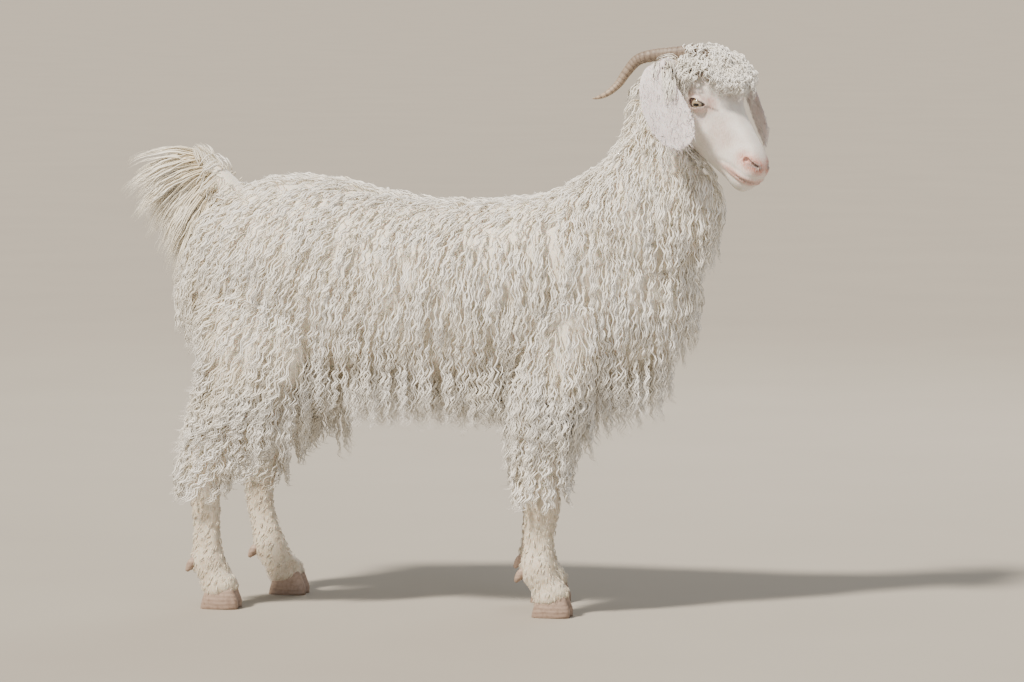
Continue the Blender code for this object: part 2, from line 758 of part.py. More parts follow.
HORN = [
    (30, 14, -8, 9.0, 10.0, 10.0),
    (14, 17, 6, 11.0, 13.0, 13.0),
    (-2, 23, 7, 11.0, 13.0, 13.0),
    (-15, 32, -7, 10.2, 12.0, 12.0),
    (-29, 42, -27, 9.4, 10.6, 10.6),
    (-44, 52, -51, 8.6, 9.6, 9.6),
    (-52, 60, -73, 8.0, 8.6, 8.6),
    (-47, 68, -95, 7.0, 7.4, 7.4),
    (-38, 77, -114, 5.8, 6.2, 6.2),
    (-33, 90, -131, 4.4, 4.6, 4.6),
    (-33, 103, -142, 2.6, 2.8, 2.8),
    (-35, 111, -147, 0.8, 0.8, 0.8),
]


def make_horn(name, hand, collection, grow=0.0):
    """A horn that sweeps back, out and down and lifts again at its tip, ringed more closely near its root."""
    rows = []
    for i, (u, v, w, side, up, down) in enumerate(smooth_rows(HORN, 2)):
        ripple = 1.0 + 0.035 * (1 if i % 2 else -1) * (1 - i / 20)
        rows.append((u, hand * v, w, side * ripple, up * ripple, down * ripple))
    return head_tube(name, rows, 8, collection, between=1, grow=grow)


# Roots of the forelock's curls, in the head's frame: place along u, then places to each side
CURL_ROOTS = ((2, (0, 30)), (16, (15, 38)), (31, (0, 30)), (43, (14, 41)), (57, (0, 24)))


def forelock(surface, collection, grow=0.0):
    """Short thick curls over the brow, from the horns down to between the eyes."""
    draw = random.Random(LOCKS_SEED + 1)
    turn = HEAD.to_3x3()
    for u, places in CURL_ROOTS:
        for v in sorted({hand * place for place in places for hand in (-1, 1)}):
            start = at_head(u + draw.uniform(-2, 2), v + draw.uniform(-2, 2), 60)
            hit, normal, _, _ = surface.ray_cast(start, turn @ Vector((0, 0, -1)))
            if hit:
                way = turn @ Vector((0.9, v * 0.014, 0.1)) - UP * 0.25
                own = POLL_LOCK._replace(length=POLL_LOCK.length * (1.0 - 0.007 * abs(v)))
                curl_lock(surface, hit, normal, way, own, draw, collection, grow)


def curl_lock(surface, root, normal, way, kind, draw, collection, grow):
    """A lock that rises off the skin, rolls over and comes back to it."""
    way = (way - normal * way.dot(normal)).normalized()
    across = way.cross(normal)
    phase = draw.uniform(0, 2 * math.pi)
    points, outs = [root - normal * 0.006], [normal]
    for k in range(1, kind.bends + 1):
        share = k / kind.bends
        ahead = root + way * kind.length * share
        near, out, _, _ = surface.find_nearest(ahead)
        high = kind.lift * math.sin(math.pi * (0.18 + 0.62 * share))
        points.append(near + out * high + across * kind.wave * math.sin(phase + 7 * share))
        outs.append(out)
    lock_mesh("curl", points, outs, kind, collection, grow)


# Tail

DOCK = [
    (-0.352, 0, 0.630, 0.026, 0.024, 0.026),
    (-0.370, 0, 0.655, 0.022, 0.019, 0.022),
    (-0.384, 0, 0.675, 0.018, 0.014, 0.016),
    (-0.396, 0, 0.690, 0.013, 0.010, 0.011),
    (-0.406, 0, 0.698, 0.007, 0.006, 0.006),
]


def make_tail(name, collection, grow=0.0):
    """A short dock carried up, with long straight locks that fan out behind it and fall."""
    draw = random.Random(LOCKS_SEED + 2)
    pieces = new_collection("tail locks")
    dock = limb(name, DOCK, 8, collection, between=1, grow=grow)
    frames = axis_frames(DOCK)
    for i in range(1, len(frames)):
        share = (i - 1) / (len(frames) - 2)
        for hand, lower in ((-1.0, 0.05), (0.0, 0.0), (1.0, 0.05), (-0.3, 0.22)):
            tail_lock(frames[i], share - lower, hand, draw, pieces, grow)
    boolean(dock, "UNION", pieces)
    bpy.data.collections.remove(pieces)
    return keep_largest(dock)


def tail_lock(frame, share, hand, draw, collection, grow):
    """One long lock: it leaves the dock back and to its side, and its fall bends it down."""
    _, centre, side, up = frame
    spread = hand + draw.uniform(-0.15, 0.15)
    rise = -1.35 + 1.60 * share + draw.uniform(-0.08, 0.08)
    start = Vector((-0.62 - 0.25 * share, 0.34 * spread, rise)).normalized()
    length = TAIL_LOCK.length * draw.uniform(0.88, 1.04) * (1.0 - 0.22 * max(0.0, share))
    step = length / TAIL_LOCK.bends
    out = (side * hand * 0.9 + up * 0.7).normalized()
    point = centre + side * hand * 0.005
    way = start.copy()
    points, outs = [], []
    for _ in range(TAIL_LOCK.bends + 1):
        points.append(point.copy())
        out = (out - way * out.dot(way)).normalized()
        outs.append(out.copy())
        point += way * step
        way = (way - UP * 0.20).normalized()
    lock_mesh("tail_lock", points, outs, TAIL_LOCK, collection, grow)


# Putting it together

def make_whole_body(scrap):
    """Trunk, neck and legs in one, with their coat."""
    core = limb("whole_body", TRUNK, 16, scrap, between=1)
    parts = new_collection("body parts")
    limb("neck", NECK, 14, parts, between=1)
    for leg in LEGS:
        limb(leg.name, with_coat(leg_rows(leg)), 12, parts, between=1)
    boolean(core, "UNION", parts)
    bpy.data.collections.remove(parts)
    keep_largest(core)
    surface = surface_of(core)
    locks = new_collection("locks")
    make_coat(surface, locks)
    boolean(core, "UNION", locks)
    bpy.data.collections.remove(locks)
    return merge_flats(keep_largest(core))


NECK_PLANE = (0.262, 0, 0.60), (0.80, 0, 0.60)
HEAD_PLANE_POINT = Vector((0.366, 0.009, 0.79))
HEAD_PLANE_NORMAL = Vector((math.cos(HEAD_TURN), -math.sin(HEAD_TURN), 0))


def leg_block(leg, collection, grow):
    """The block of space that holds one leg, below the trunk."""
    low, high = leg.low_cut
    near, far = sorted((0.026 if leg.left else -0.026, 0.24 if leg.left else -0.24))
    return box("leg_block", (low - grow, near - grow, -0.05 - grow),
               (high + grow, far + grow, leg.high_cut + grow), collection)


def part_body(whole, animal, scrap):
    """Parts the whole body into trunk, neck and legs by thin cuts."""
    torso = copy_of(whole, "torso", animal)
    neck = copy_of(whole, "neck", animal)
    boolean(torso, "DIFFERENCE", beyond(*NECK_PLANE, scrap, start=-GAP / 2))
    boolean(neck, "INTERSECT", beyond(*NECK_PLANE, scrap))
    legs = {}
    for leg in LEGS:
        made = copy_of(whole, leg.name, animal)
        boolean(made, "INTERSECT", leg_block(leg, scrap, 0.0))
        legs[leg.name] = made
        boolean(torso, "DIFFERENCE", leg_block(leg, scrap, GAP))
    return torso, neck, legs


def make_feet(legs, animal, scrap):
    """Claws and dewclaws, let into the foot of each leg."""
    made = []
    for leg in LEGS:
        foot = leg.name.replace("leg", "foot")
        for sign in (-1, 1):
            side = "outer" if (sign > 0) == leg.left else "inner"
            made.append(make_claw(f"claw_{foot}_{side}", leg, sign, animal))
            boolean(legs[leg.name], "DIFFERENCE", make_claw("cutter", leg, sign, scrap, GAP))
            rows = dewclaw_rows(leg, sign)
            made.append(limb(f"dewclaw_{foot}_{side}", rows, 6, animal, between=1))
            boolean(legs[leg.name], "DIFFERENCE", limb("cutter", rows, 6, scrap, 1, GAP))
    return made


def make_head(animal, scrap):
    """The head, with its eye sockets, lids, nostrils and mouth opened and room for ears and horns."""
    head = head_with_pieces(animal)
    for hand in (-1, 1):
        u, v, w = EYE_PLACE
        boolean(head, "DIFFERENCE", ball("cutter", (u, hand * v, w), EYE_RADIUS + GAP, scrap, 14))
        boolean(head, "DIFFERENCE", lid_opening(hand, scrap))
        boolean(head, "DIFFERENCE", nostril(hand, scrap))
        boolean(head, "DIFFERENCE", make_ear("cutter", hand, scrap, GAP))
        boolean(head, "DIFFERENCE", make_horn("cutter", hand, scrap, GAP))
    boolean(head, "DIFFERENCE", mouth_cut(scrap))
    boolean(head, "INTERSECT", beyond(HEAD_PLANE_POINT, HEAD_PLANE_NORMAL, scrap))
    return head


def head_with_pieces(collection, grow=0.0):
    """The head's core with its lids and forelock fused on."""
    head = head_core(collection, grow)
    surface = surface_of(head)
    pieces = new_collection("head pieces")
    for hand in (-1, 1):
        u, v, w = EYE_PLACE
        ball("lids", (u, hand * v, w), EYE_RADIUS + 2.4 * MM + grow, pieces, 14, (1.12, 1, 0.98))
    forelock(surface, pieces, grow)
    boolean(head, "UNION", pieces)
    bpy.data.collections.remove(pieces)
    return head


def clear_neck(neck, scrap):
    """Cuts the neck clear of the head, the ears and the horns."""
    grown = head_with_pieces(scrap, GAP)
    boolean(grown, "INTERSECT", beyond(HEAD_PLANE_POINT, HEAD_PLANE_NORMAL, scrap, start=-GAP / 2))
    boolean(neck, "DIFFERENCE", grown)
    for hand in (-1, 1):
        boolean(neck, "DIFFERENCE", make_ear("cutter", hand, scrap, GAP))
        boolean(neck, "DIFFERENCE", make_horn("cutter", hand, scrap, GAP))


def paint(objects, name):
    material = make_material(name)
    for thing in objects:
        thing.data.materials.clear()
        thing.data.materials.append(material)
        for face in thing.data.polygons:
            face.material_index = 0


def settle(animal):
    """Gives each piece an origin of its own, below its middle, and stands all of them on one base."""
    base = bpy.data.objects.new("base", None)
    animal.objects.link(base)
    base.location = MIDDLE_SHIFT
    for thing in [found for found in animal.objects if found.type == "MESH"]:
        places = [vertex.co for vertex in thing.data.vertices]
        low = [min(place[axis] for place in places) for axis in range(3)]
        high = [max(place[axis] for place in places) for axis in range(3)]
        origin = Vector(((low[0] + high[0]) / 2, (low[1] + high[1]) / 2, low[2]))
        thing.data.transform(Matrix.Translation(-origin))
        thing.location = origin
        thing.parent = base
        thing.data.shade_smooth()
        thing.data.set_sharp_from_angle(angle=SHARP_ANGLE)


def main():
    clear_scene()
    animal = new_collection("angora_goat")
    scrap = new_collection("cutters")
    whole = make_whole_body(scrap)
    torso, neck, legs = part_body(whole, animal, scrap)
    bpy.data.objects.remove(whole)
    claws = make_feet(legs, animal, scrap)
    head = make_head(animal, scrap)
    clear_neck(neck, scrap)
    tail = make_tail("tail", animal)
    boolean(torso, "DIFFERENCE", make_tail("cutter", scrap, GAP))
    ears, horns, eyes = [], [], []
    for hand, side in ((-1, "right"), (1, "left")):
        ears.append(make_ear(f"ear_{side}", hand, animal))
        horns.append(make_horn(f"horn_{side}", hand, animal))
        u, v, w = EYE_PLACE
        eyes.append(ball(f"eye_{side}", (u, hand * v, w), EYE_RADIUS, animal, 14))
    fleece = [torso, neck, head, tail, *legs.values()]
    for thing in fleece:
        keep_largest(thing)
    paint([torso, neck, tail, *legs.values()], "mohair")
    paint([head], "short_hair")
    paint(ears, "ear_skin")
    paint(horns, "horn")
    paint(claws, "hoof")
    paint(eyes, "eye")
    settle(animal)


main()
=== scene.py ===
import math
from collections import namedtuple

import bpy
import numpy as np
from mathutils import Matrix, Vector
from mathutils.bvhtree import BVHTree


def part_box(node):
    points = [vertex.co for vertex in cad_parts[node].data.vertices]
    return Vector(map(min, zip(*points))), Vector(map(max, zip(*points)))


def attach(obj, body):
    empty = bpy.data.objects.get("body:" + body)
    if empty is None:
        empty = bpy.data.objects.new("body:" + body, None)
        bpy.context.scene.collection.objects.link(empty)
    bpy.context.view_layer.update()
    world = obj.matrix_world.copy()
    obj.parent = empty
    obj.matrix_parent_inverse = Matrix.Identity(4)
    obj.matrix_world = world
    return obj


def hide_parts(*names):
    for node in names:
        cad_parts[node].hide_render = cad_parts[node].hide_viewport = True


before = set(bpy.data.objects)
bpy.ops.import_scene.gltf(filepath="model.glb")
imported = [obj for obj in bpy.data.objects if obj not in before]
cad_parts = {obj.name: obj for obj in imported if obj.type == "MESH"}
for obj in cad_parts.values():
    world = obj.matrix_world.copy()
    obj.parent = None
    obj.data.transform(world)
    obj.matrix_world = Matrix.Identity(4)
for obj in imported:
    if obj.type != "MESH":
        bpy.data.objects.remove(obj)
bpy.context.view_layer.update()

MM = 0.001
UP = Vector((0, 0, 1))
LEFT = Vector((0, 1, 0))

# The sizes that the solids are made from
WITHERS_HEIGHT = 0.665
HALF_GIRTH = 0.150
TRACK_FRONT = 0.082
TRACK_HIND = 0.092
HOOF_HEIGHT = 0.030
FLEECE_HEM = 0.185
HEAD_PITCH = math.radians(52)
HEAD_TURN = math.radians(30)
POLL = Vector((0.400, -0.010, 0.863))
EYE_RADIUS = 13.5
EYE_PLACE = (64, 40.5, -27)

# How far the skin lies inside the solids under the fleece, and how finely it is meshed
SKIN_DEPTH = 0.012
BODY_MESH = 4.6 * MM
HEAD_MESH = 1.3 * MM

# Lids: slant, thickness, and half length and half height of their opening, which lies a little behind
# the middle of the eye and runs on in front as the tear duct
LID_SLANT = math.radians(39)
LID_THICKNESS = 2.4
LID_HALF_LENGTH = 11.5
LID_HALF_HEIGHT = 7.0
LID_BEHIND = 1.5
TEAR_RUN = 5.5

# All that is random is drawn from this
SEED = 5


def head_frame():
    """Takes a point in the head's frame, in metres, into the world."""
    pitch, turn = HEAD_PITCH, HEAD_TURN
    u = Vector((math.cos(pitch) * math.cos(turn), -math.cos(pitch) * math.sin(turn), -math.sin(pitch)))
    v = Vector((math.sin(turn), math.cos(turn), 0))
    placing = Matrix((u, v, u.cross(v))).transposed().to_4x4()
    return Matrix.Translation(POLL) @ placing


HEAD = head_frame()
HEAD_AXES = np.array(HEAD.to_3x3())
HEAD_LEFT = HEAD.to_3x3() @ LEFT


def at_head(places):
    """Points in millimetres in the head's frame, taken into the world."""
    return np.asarray(places, float) @ HEAD_AXES.T * MM + np.array(POLL)


def in_head(points):
    """Points in the world, in millimetres in the head's frame."""
    return (points - np.array(POLL)) @ HEAD_AXES / MM


def middle_of(node):
    low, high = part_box(node)
    return np.array((low + high) / 2)


# The solids stand with their middle over the origin, so the eyes say how far all of it moves
eyes_here = at_head([(EYE_PLACE[0], hand * EYE_PLACE[1], EYE_PLACE[2]) for hand in (-1, 1)])
SHIFT = np.mean([middle_of("eye_right"), middle_of("eye_left")], axis=0) - eyes_here.mean(axis=0)
SHIFT[2] = 0.0


# Meshes

def unit(vectors):
    return vectors / np.maximum(np.linalg.norm(vectors, axis=-1, keepdims=True), 1e-12)


def curve_through(rows, between, closed=False):
    """Rows on a Catmull-Rom curve through the rows given, with this many steps from each to the next."""
    rows = np.asarray(rows, float)
    count = len(rows)
    t = (np.arange(between) / between).reshape(-1, *[1] * (rows.ndim - 1))
    out = []
    for i in range(count if closed else count - 1):
        near = [(i + k) % count if closed else min(max(i + k, 0), count - 1) for k in (-1, 0, 1, 2)]
        p, q, r, s = rows[near]
        out.append(0.5 * (2 * q + (r - p) * t + (2 * p - 5 * q + 4 * r - s) * t ** 2
                          + (3 * q - p - 3 * r + s) * t ** 3))
    if not closed:
        out.append(rows[-1:])
    return np.concatenate(out)


def loft(rings):
    """Points and triangles of a closed skin over rings that all have the same number of points."""
    rings = np.asarray(rings)
    count, sides = rings.shape[:2]
    points = np.vstack([rings.reshape(-1, 3), rings[0].mean(axis=0), rings[-1].mean(axis=0)])
    here = np.arange(sides)
    after = (here + 1) % sides
    low = np.arange(count - 1)[:, None] * sides
    a, b, c, d = ((low + corner).ravel() for corner in (here, after, sides + after, sides + here))
    first, last, base = count * sides, count * sides + 1, (count - 1) * sides
    triangles = np.vstack([
        np.stack([a, b, c], axis=1),
        np.stack([a, c, d], axis=1),
        np.stack([np.full(sides, first), after, here], axis=1),
        np.stack([np.full(sides, last), base + here, base + after], axis=1),
    ])
    return outwards(points, triangles)


def outwards(points, triangles):
    """The same shape, with its faces turned outwards."""
    a, b, c = (points[triangles[:, k]] for k in range(3))
    if np.einsum("ij,ij->i", a, np.cross(b, c)).sum() < 0:
        triangles = triangles[:, ::-1]
    return points, triangles


def together(shapes):
    """Several shapes as one."""
    points, triangles, start = [], [], 0
    for some, faces in shapes:
        points.append(some)
        triangles.append(faces + start)
        start += len(some)
    return np.vstack(points), np.vstack(triangles)


def new_mesh(name, points, triangles):
    """A smooth mesh from arrays."""
    mesh = bpy.data.meshes.new(name)
    mesh.vertices.add(len(points))
    mesh.vertices.foreach_set("co", np.ascontiguousarray(points, np.float32).ravel())
    mesh.loops.add(triangles.size)
    mesh.loops.foreach_set("vertex_index", np.ascontiguousarray(triangles, np.int32).ravel())
    mesh.polygons.add(len(triangles))
    mesh.polygons.foreach_set("loop_start", np.arange(0, triangles.size, 3, dtype=np.int32))
    mesh.update(calc_edges=True)
    mesh.shade_smooth()
    return mesh


def new_object(name, shape, moved=True):
    """An object from points and triangles, moved to where the solids stand."""
    points, triangles = shape
    made = bpy.data.objects.new(name, new_mesh(name, points + (SHIFT if moved else 0), triangles))
    bpy.context.scene.collection.objects.link(made)
    return made


def with_modifier(thing, kind, **settings):
    """Adds one modifier to an object and applies it."""
    modifier = thing.modifiers.new(kind.lower(), kind)
    for name, value in settings.items():
        setattr(modifier, name, value)
    graph = bpy.context.evaluated_depsgraph_get()
    mesh = bpy.data.meshes.new_from_object(thing.evaluated_get(graph))
    thing.modifiers.clear()
    thing.data = mesh


def boolean(thing, operation, shape):
    """Joins a closed shape to an object, or cuts it away."""
    other = new_object("operand", shape, moved=False)
    with_modifier(thing, "BOOLEAN", operation=operation, solver="MANIFOLD", object=other)
    bpy.data.objects.remove(other)


def points_of(mesh, what="co"):
    out = np.zeros(len(mesh.vertices) * 3, np.float32)
    mesh.vertices.foreach_get(what, out)
    return out.reshape(-1, 3).astype(float)


def set_points(mesh, points):
    mesh.vertices.foreach_set("co", np.ascontiguousarray(points, np.float32).ravel())
    mesh.update()


def set_attribute(mesh, name, values):
    made = mesh.attributes.new(name, "FLOAT", "POINT")
    made.data.foreach_set("value", np.ascontiguousarray(values, np.float32).ravel())


def surface_of(mesh):
    return BVHTree.FromPolygons([v.co for v in mesh.vertices], [tuple(p.vertices) for p in mesh.polygons])


def smoothly(value, start, end):
    """0 before start, 1 after end, and a smooth step between."""
    t = np.clip((value - start) / (end - start), 0, 1)
    return t * t * (3 - 2 * t)


def swell(value, middle, width):
    """1 at the middle, falling off on both sides."""
    return np.exp(-((value - middle) / width) ** 2)


# Trunk, neck and legs: the rows of the solids, as x, y, z, half width, height above and below

TRUNK = [
    (-0.412, 0, 0.535, 0.030, 0.050, 0.050),
    (-0.398, 0, 0.530, 0.078, 0.098, 0.100),
    (-0.360, 0, 0.525, 0.112, 0.128, 0.130),
    (-0.300, 0, 0.520, 0.130, 0.153, 0.150),
    (-0.220, 0, 0.515, 0.142, 0.160, 0.155),
    (-0.130, 0, 0.505, HALF_GIRTH, 0.153, 0.157),
    (-0.040, 0, 0.500, HALF_GIRTH, 0.142, 0.155),
    (0.050, 0, 0.500, 0.146, 0.141, 0.158),
    (0.130, 0, 0.500, 0.134, WITHERS_HEIGHT - 0.515, 0.160),
    (0.200, 0, 0.500, 0.118, 0.150, 0.154),
    (0.260, 0, 0.500, 0.100, 0.130, 0.144),
    (0.305, 0, 0.505, 0.080, 0.100, 0.116),
    (0.342, 0, 0.515, 0.054, 0.070, 0.072),
    (0.364, 0, 0.525, 0.028, 0.035, 0.034),
]

NECK = [
    (0.160, 0, 0.545, 0.090, 0.105, 0.120),
    (0.230, 0, 0.580, 0.090, 0.100, 0.135),
    (0.285, 0, 0.630, 0.080, 0.088, 0.130),
    (0.315, 0, 0.688, 0.066, 0.068, 0.114),
    (0.330, 0.001, 0.735, 0.054, 0.056, 0.043),
    (0.340, 0.004, 0.785, 0.044, 0.054, 0.034),
    (0.348, 0.008, 0.835, 0.030, 0.042, 0.028),
]

FORELEG = [
    (0.185, -0.010, 0.470, 0.040, 0.060, 0.060),
    (0.180, 0.004, 0.400, 0.040, 0.056, 0.058),
    (0.166, 0.008, 0.330, 0.035, 0.045, 0.046),
    (0.158, 0.004, 0.260, 0.029, 0.035, 0.037),
    (0.154, 0.002, 0.205, 0.024, 0.027, 0.029),
    (0.155, 0.001, 0.172, 0.026, 0.029, 0.027),
    (0.152, 0.000, 0.138, 0.021, 0.024, 0.024),
    (0.151, 0.000, 0.105, 0.020, 0.022, 0.024),
    (0.153, 0.000, 0.072, 0.025, 0.026, 0.031),
    (0.162, 0.000, 0.050, 0.023, 0.024, 0.025),
    (0.169, 0.000, 0.033, 0.026, 0.030, 0.028),
    (0.172, 0.000, 0.022, 0.024, 0.026, 0.026),
]

HINDLEG = [
    (-0.291, -0.020, 0.480, 0.040, 0.080, 0.080),
    (-0.296, 0.004, 0.410, 0.048, 0.088, 0.082),
    (-0.312, 0.008, 0.345, 0.042, 0.068, 0.066),
    (-0.346, 0.004, 0.285, 0.030, 0.045, 0.044),
    (-0.373, 0.002, 0.235, 0.023, 0.030, 0.033),
    (-0.379, 0.001, 0.198, 0.021, 0.024, 0.028),
    (-0.378, 0.000, 0.150, 0.018, 0.021, 0.022),
    (-0.377, 0.000, 0.110, 0.018, 0.020, 0.022),
    (-0.374, 0.000, 0.076, 0.022, 0.024, 0.028),
    (-0.365, 0.000, 0.052, 0.022, 0.024, 0.025),
    (-0.358, 0.000, 0.034, 0.025, 0.030, 0.028),
    (-0.355, 0.000, 0.022, 0.023, 0.026, 0.026),
]

DOCK = [
    (-0.352, 0, 0.630, 0.026, 0.024, 0.026),
    (-0.370, 0, 0.655, 0.022, 0.019, 0.022),
    (-0.384, 0, 0.675, 0.018, 0.014, 0.016),
    (-0.396, 0, 0.690, 0.013, 0.010, 0.011),
    (-0.406, 0, 0.698, 0.007, 0.006, 0.006),
]

# A hind leg placed further forward: how far it moves, by height
STEP_HEIGHTS = ((0.48, 0.0), (0.345, 0.036), (0.235, 0.040), (0.150, 0.038), (0.076, 0.052), (0.0, 0.065))

# The cleft between the toes and the hollow beside each shin's cord, in millimetres
CLEFT_DEPTH = 5.0
CLEFT_WIDTH = 3.5
SHIN_DEPTH = 2.2
LEG_REACH = 0.06

Leg = namedtuple("Leg", "foot rows track left step")
LEGS = [
    Leg("forefoot_right", FORELEG, TRACK_FRONT, False, 0.0),
    Leg("forefoot_left", FORELEG, TRACK_FRONT, True, -0.036),
    Leg("hindfoot_right", HINDLEG, TRACK_HIND, False, 0.0),
    Leg("hindfoot_left", HINDLEG, TRACK_HIND, True, None),
]


def step_at(height):
    """How far forward the stepping hind leg is, at a height above the floor."""
    for (high, far), (low, near) in zip(STEP_HEIGHTS, STEP_HEIGHTS[1:]):
        if height >= low:
            share = min(1.0, (height - low) / (high - low))
            return near + (far - near) * share * share * (3 - 2 * share)
    return STEP_HEIGHTS[-1][1]


def leg_rows(leg):
    """The rows of one leg, out at its track on its own side and moved by its step."""
    sign = 1 if leg.left else -1
    rows = []
    for x, out, z, side, front, back in leg.rows:
        step = step_at(z) if leg.step is None else leg.step * min(1.0, (0.48 - z) / 0.2)
        rows.append((x + step, sign * (leg.track + out), z, side, front, back))
    return rows


def oval_rings(rows, sides, between, side_axis=LEFT, square=2.25):
    """Rings round a line of rows: superellipses with their own half height above and below."""
    rows = curve_through(rows, between)
    centres = rows[:, :3]
    ahead = unit(np.gradient(centres, axis=0))
    up = unit(np.cross(ahead, np.array(side_axis)))
    side = unit(np.cross(up, ahead))
    angle = 2 * math.pi * (np.arange(sides) + 0.5) / sides
    c, s = np.cos(angle), np.sin(angle)
    across = np.sign(c) * np.abs(c) ** (2 / square) * rows[:, 3:4]
    height = np.sign(s) * np.abs(s) ** (2 / square) * np.where(s > 0, rows[:, 4:5], rows[:, 5:6])
    return centres[:, None] + side[:, None] * across[..., None] + up[:, None] * height[..., None]


def under_coat(rows):
    """Rows drawn in by the depth of the fleece, which thins out towards the head."""
    out = []
    for x, y, z, side, up, down in rows:
        depth = SKIN_DEPTH * (1 - 0.7 * float(smoothly(z, 0.70, 0.80)))
        out.append((x, y, z, side - depth, up - depth, down - depth))
    return out


def body_skin():
    """The skin of trunk, neck, dock and legs, with the toes' cleft and the cords of the shins."""
    shapes = [
        loft(oval_rings(under_coat(TRUNK), 48, 6)),
        loft(oval_rings(under_coat(NECK), 40, 8)),
        loft(oval_rings(DOCK, 20, 4)),
    ]
    shapes += [loft(oval_rings(leg_rows(leg), 28, 8)) for leg in LEGS]
    body = new_object("skin", together(shapes), moved=False)
    with_modifier(body, "REMESH", mode="VOXEL", voxel_size=BODY_MESH)
    with_modifier(body, "SMOOTH", factor=0.5, iterations=4)
    points = points_of(body.data)
    normals = points_of(body.data, "normal")
    push = np.zeros(len(points))
    for leg in LEGS:
        rows = np.array(leg_rows(leg))
        order = np.argsort(rows[:, 2])
        x = np.interp(points[:, 2], rows[order, 2], rows[order, 0])
        y = np.interp(points[:, 2], rows[order, 2], rows[order, 1])
        near = (np.hypot(points[:, 0] - x, points[:, 1] - y) < LEG_REACH) & (points[:, 2] < 0.25)
        low = 1 - smoothly(points[:, 2], 0.040, 0.062)
        push -= near * low * CLEFT_DEPTH * MM * swell(points[:, 1], y, CLEFT_WIDTH * MM)
        shin = smoothly(points[:, 2], 0.080, 0.100) * (1 - smoothly(points[:, 2], 0.135, 0.155))
        behind = np.clip((x - points[:, 0]) / 0.02, -1, 1)
        push -= near * shin * SHIN_DEPTH * MM * swell(np.abs(behind), 0.15, 0.35)
    set_points(body.data, points + normals * push[:, None])
    return body


# Head

# Sections of the head: place along u, top, brow corner, cheek, jaw corner, bottom
HEAD_SECTIONS = [
    (-10, -24, 18, -32, 26, -56, 20, -84, -94),
    (2, -8, 31, -15, 39, -50, 27, -92, -104),
    (24, 4, 40, -6, 45, -48, 31, -98, -112),
    (46, 9, 46, -6, 47, -50, 32, -98, -113),
    (66, 8, 47, -11, 46, -52, 31, -95, -109),
    (88, 4, 34, -11, 43, -52, 29, -90, -104),
    (112, 1, 24, -9, 36, -48, 26, -84, -98),
    (138, 0, 19, -8, 30, -44, 23, -77, -90),
    (162, -1, 17, -8, 27, -40, 20, -70, -82),
    (182, -4, 18, -10, 26, -36, 18, -66, -77),
    (196, -9, 17, -15, 23, -35, 16, -62, -73),
    (204, -15, 13, -20, 18, -36, 13, -58, -68),
    (209, -23, 7, -26, 10, -38, 7, -52, -59),
]

EAR = [
    (12, 34, -30, 11.0, 10.0, 10.0),
    (2, 56, -23, 11.5, 10.0, 10.0),
    (-5, 79, -22, 13.0, 8.0, 8.0),
    (0, 95, -27, 18.0, 5.5, 5.5),
    (24, 104, -36, 28.0, 3.4, 3.4),
    (60, 104, -44, 35.0, 2.4, 2.4),
    (94, 100, -49, 34.0, 2.0, 2.0),
    (116, 97, -51, 26.0, 1.7, 1.7),
    (128, 95, -52, 12.0, 1.4, 1.4),
]
EAR_BEND = math.radians(37)

HORN = [
    (30, 14, -8, 9.0, 10.0, 10.0),
    (14, 17, 6, 11.0, 13.0, 13.0),
    (-2, 23, 7, 11.0, 13.0, 13.0),
    (-15, 32, -7, 10.2, 12.0, 12.0),
    (-29, 42, -27, 9.4, 10.6, 10.6),
    (-44, 52, -51, 8.6, 9.6, 9.6),
    (-52, 60, -73, 8.0, 8.6, 8.6),
    (-47, 68, -95, 7.0, 7.4, 7.4),
    (-38, 77, -114, 5.8, 6.2, 6.2),
    (-33, 90, -131, 4.4, 4.6, 4.6),
    (-33, 103, -142, 2.6, 2.8, 2.8),
    (-35, 111, -147, 0.8, 0.8, 0.8),
]

# A comma-shaped slit that runs forward and in, wide at its back end: places near the skin, and half width
NOSTRIL = [
    (173, 30.5, -19, 2.6),
    (177, 28.5, -18, 5.0),
    (182, 24.5, -17, 4.2),
    (188, 20.0, -16, 3.2),
    (193, 15.5, -15, 2.4),
    (198, 10.5, -14, 1.5),
]

# The line of the mouth, from its corner to the middle of the lips
MOUTH = [
    (154, 34, -64),
    (166, 30, -57.5),
    (178, 28, -52),
    (190, 26, -47),
    (200, 22, -43),
    (208, 15, -40),
    (214, 0, -38.5),
]
LIPS_APART = 1.8
MOUTH_DEPTH = 8

# The damp line that runs on from the front corner of the eye, as places along u and w
TEAR_LINE = [(76.5, -18.5), (84.0, -15.0), (91.0, -11.0)]

# Swells and hollows of the face: place, how far they reach, and how high they stand
FACE_FORMS = [
    ((58, 41, -10), 12, 2.4),
    ((86, 36, -36), 13, -2.6),
    ((104, 35, -50), 12, 2.2),
    ((38, 44, -72), 24, 2.6),
    ((140, 24, -28), 15, -1.8),
    ((186, 25, -15), 8, 2.6),
    ((199, 15, -14), 7, 1.2),
    ((192, 22, -38), 10, 2.0),
    ((190, 0, -72), 13, 2.4),
    ((150, 0, 2), 22, 0.8),
    ((209, 0, -31), 4, -1.6),
]

# Fine wrinkles on the sides of the nose: how far apart, and how high
WRINKLE = 4.8
WRINKLE_HEIGHT = 0.22


def head_shape():
    """The head without its openings."""
    rings = []
    for u, top, brow, brow_w, cheek, cheek_w, jaw, jaw_w, bottom in curve_through(HEAD_SECTIONS, 8):
        half = [(u, 0, top), (u, brow, brow_w), (u, cheek, cheek_w), (u, jaw, jaw_w), (u, 0, bottom)]
        full = half + [(u, -v, w) for _, v, w in reversed(half[1:-1])]
        rings.append(at_head(curve_through(full, 8, closed=True)))
    return loft(rings)


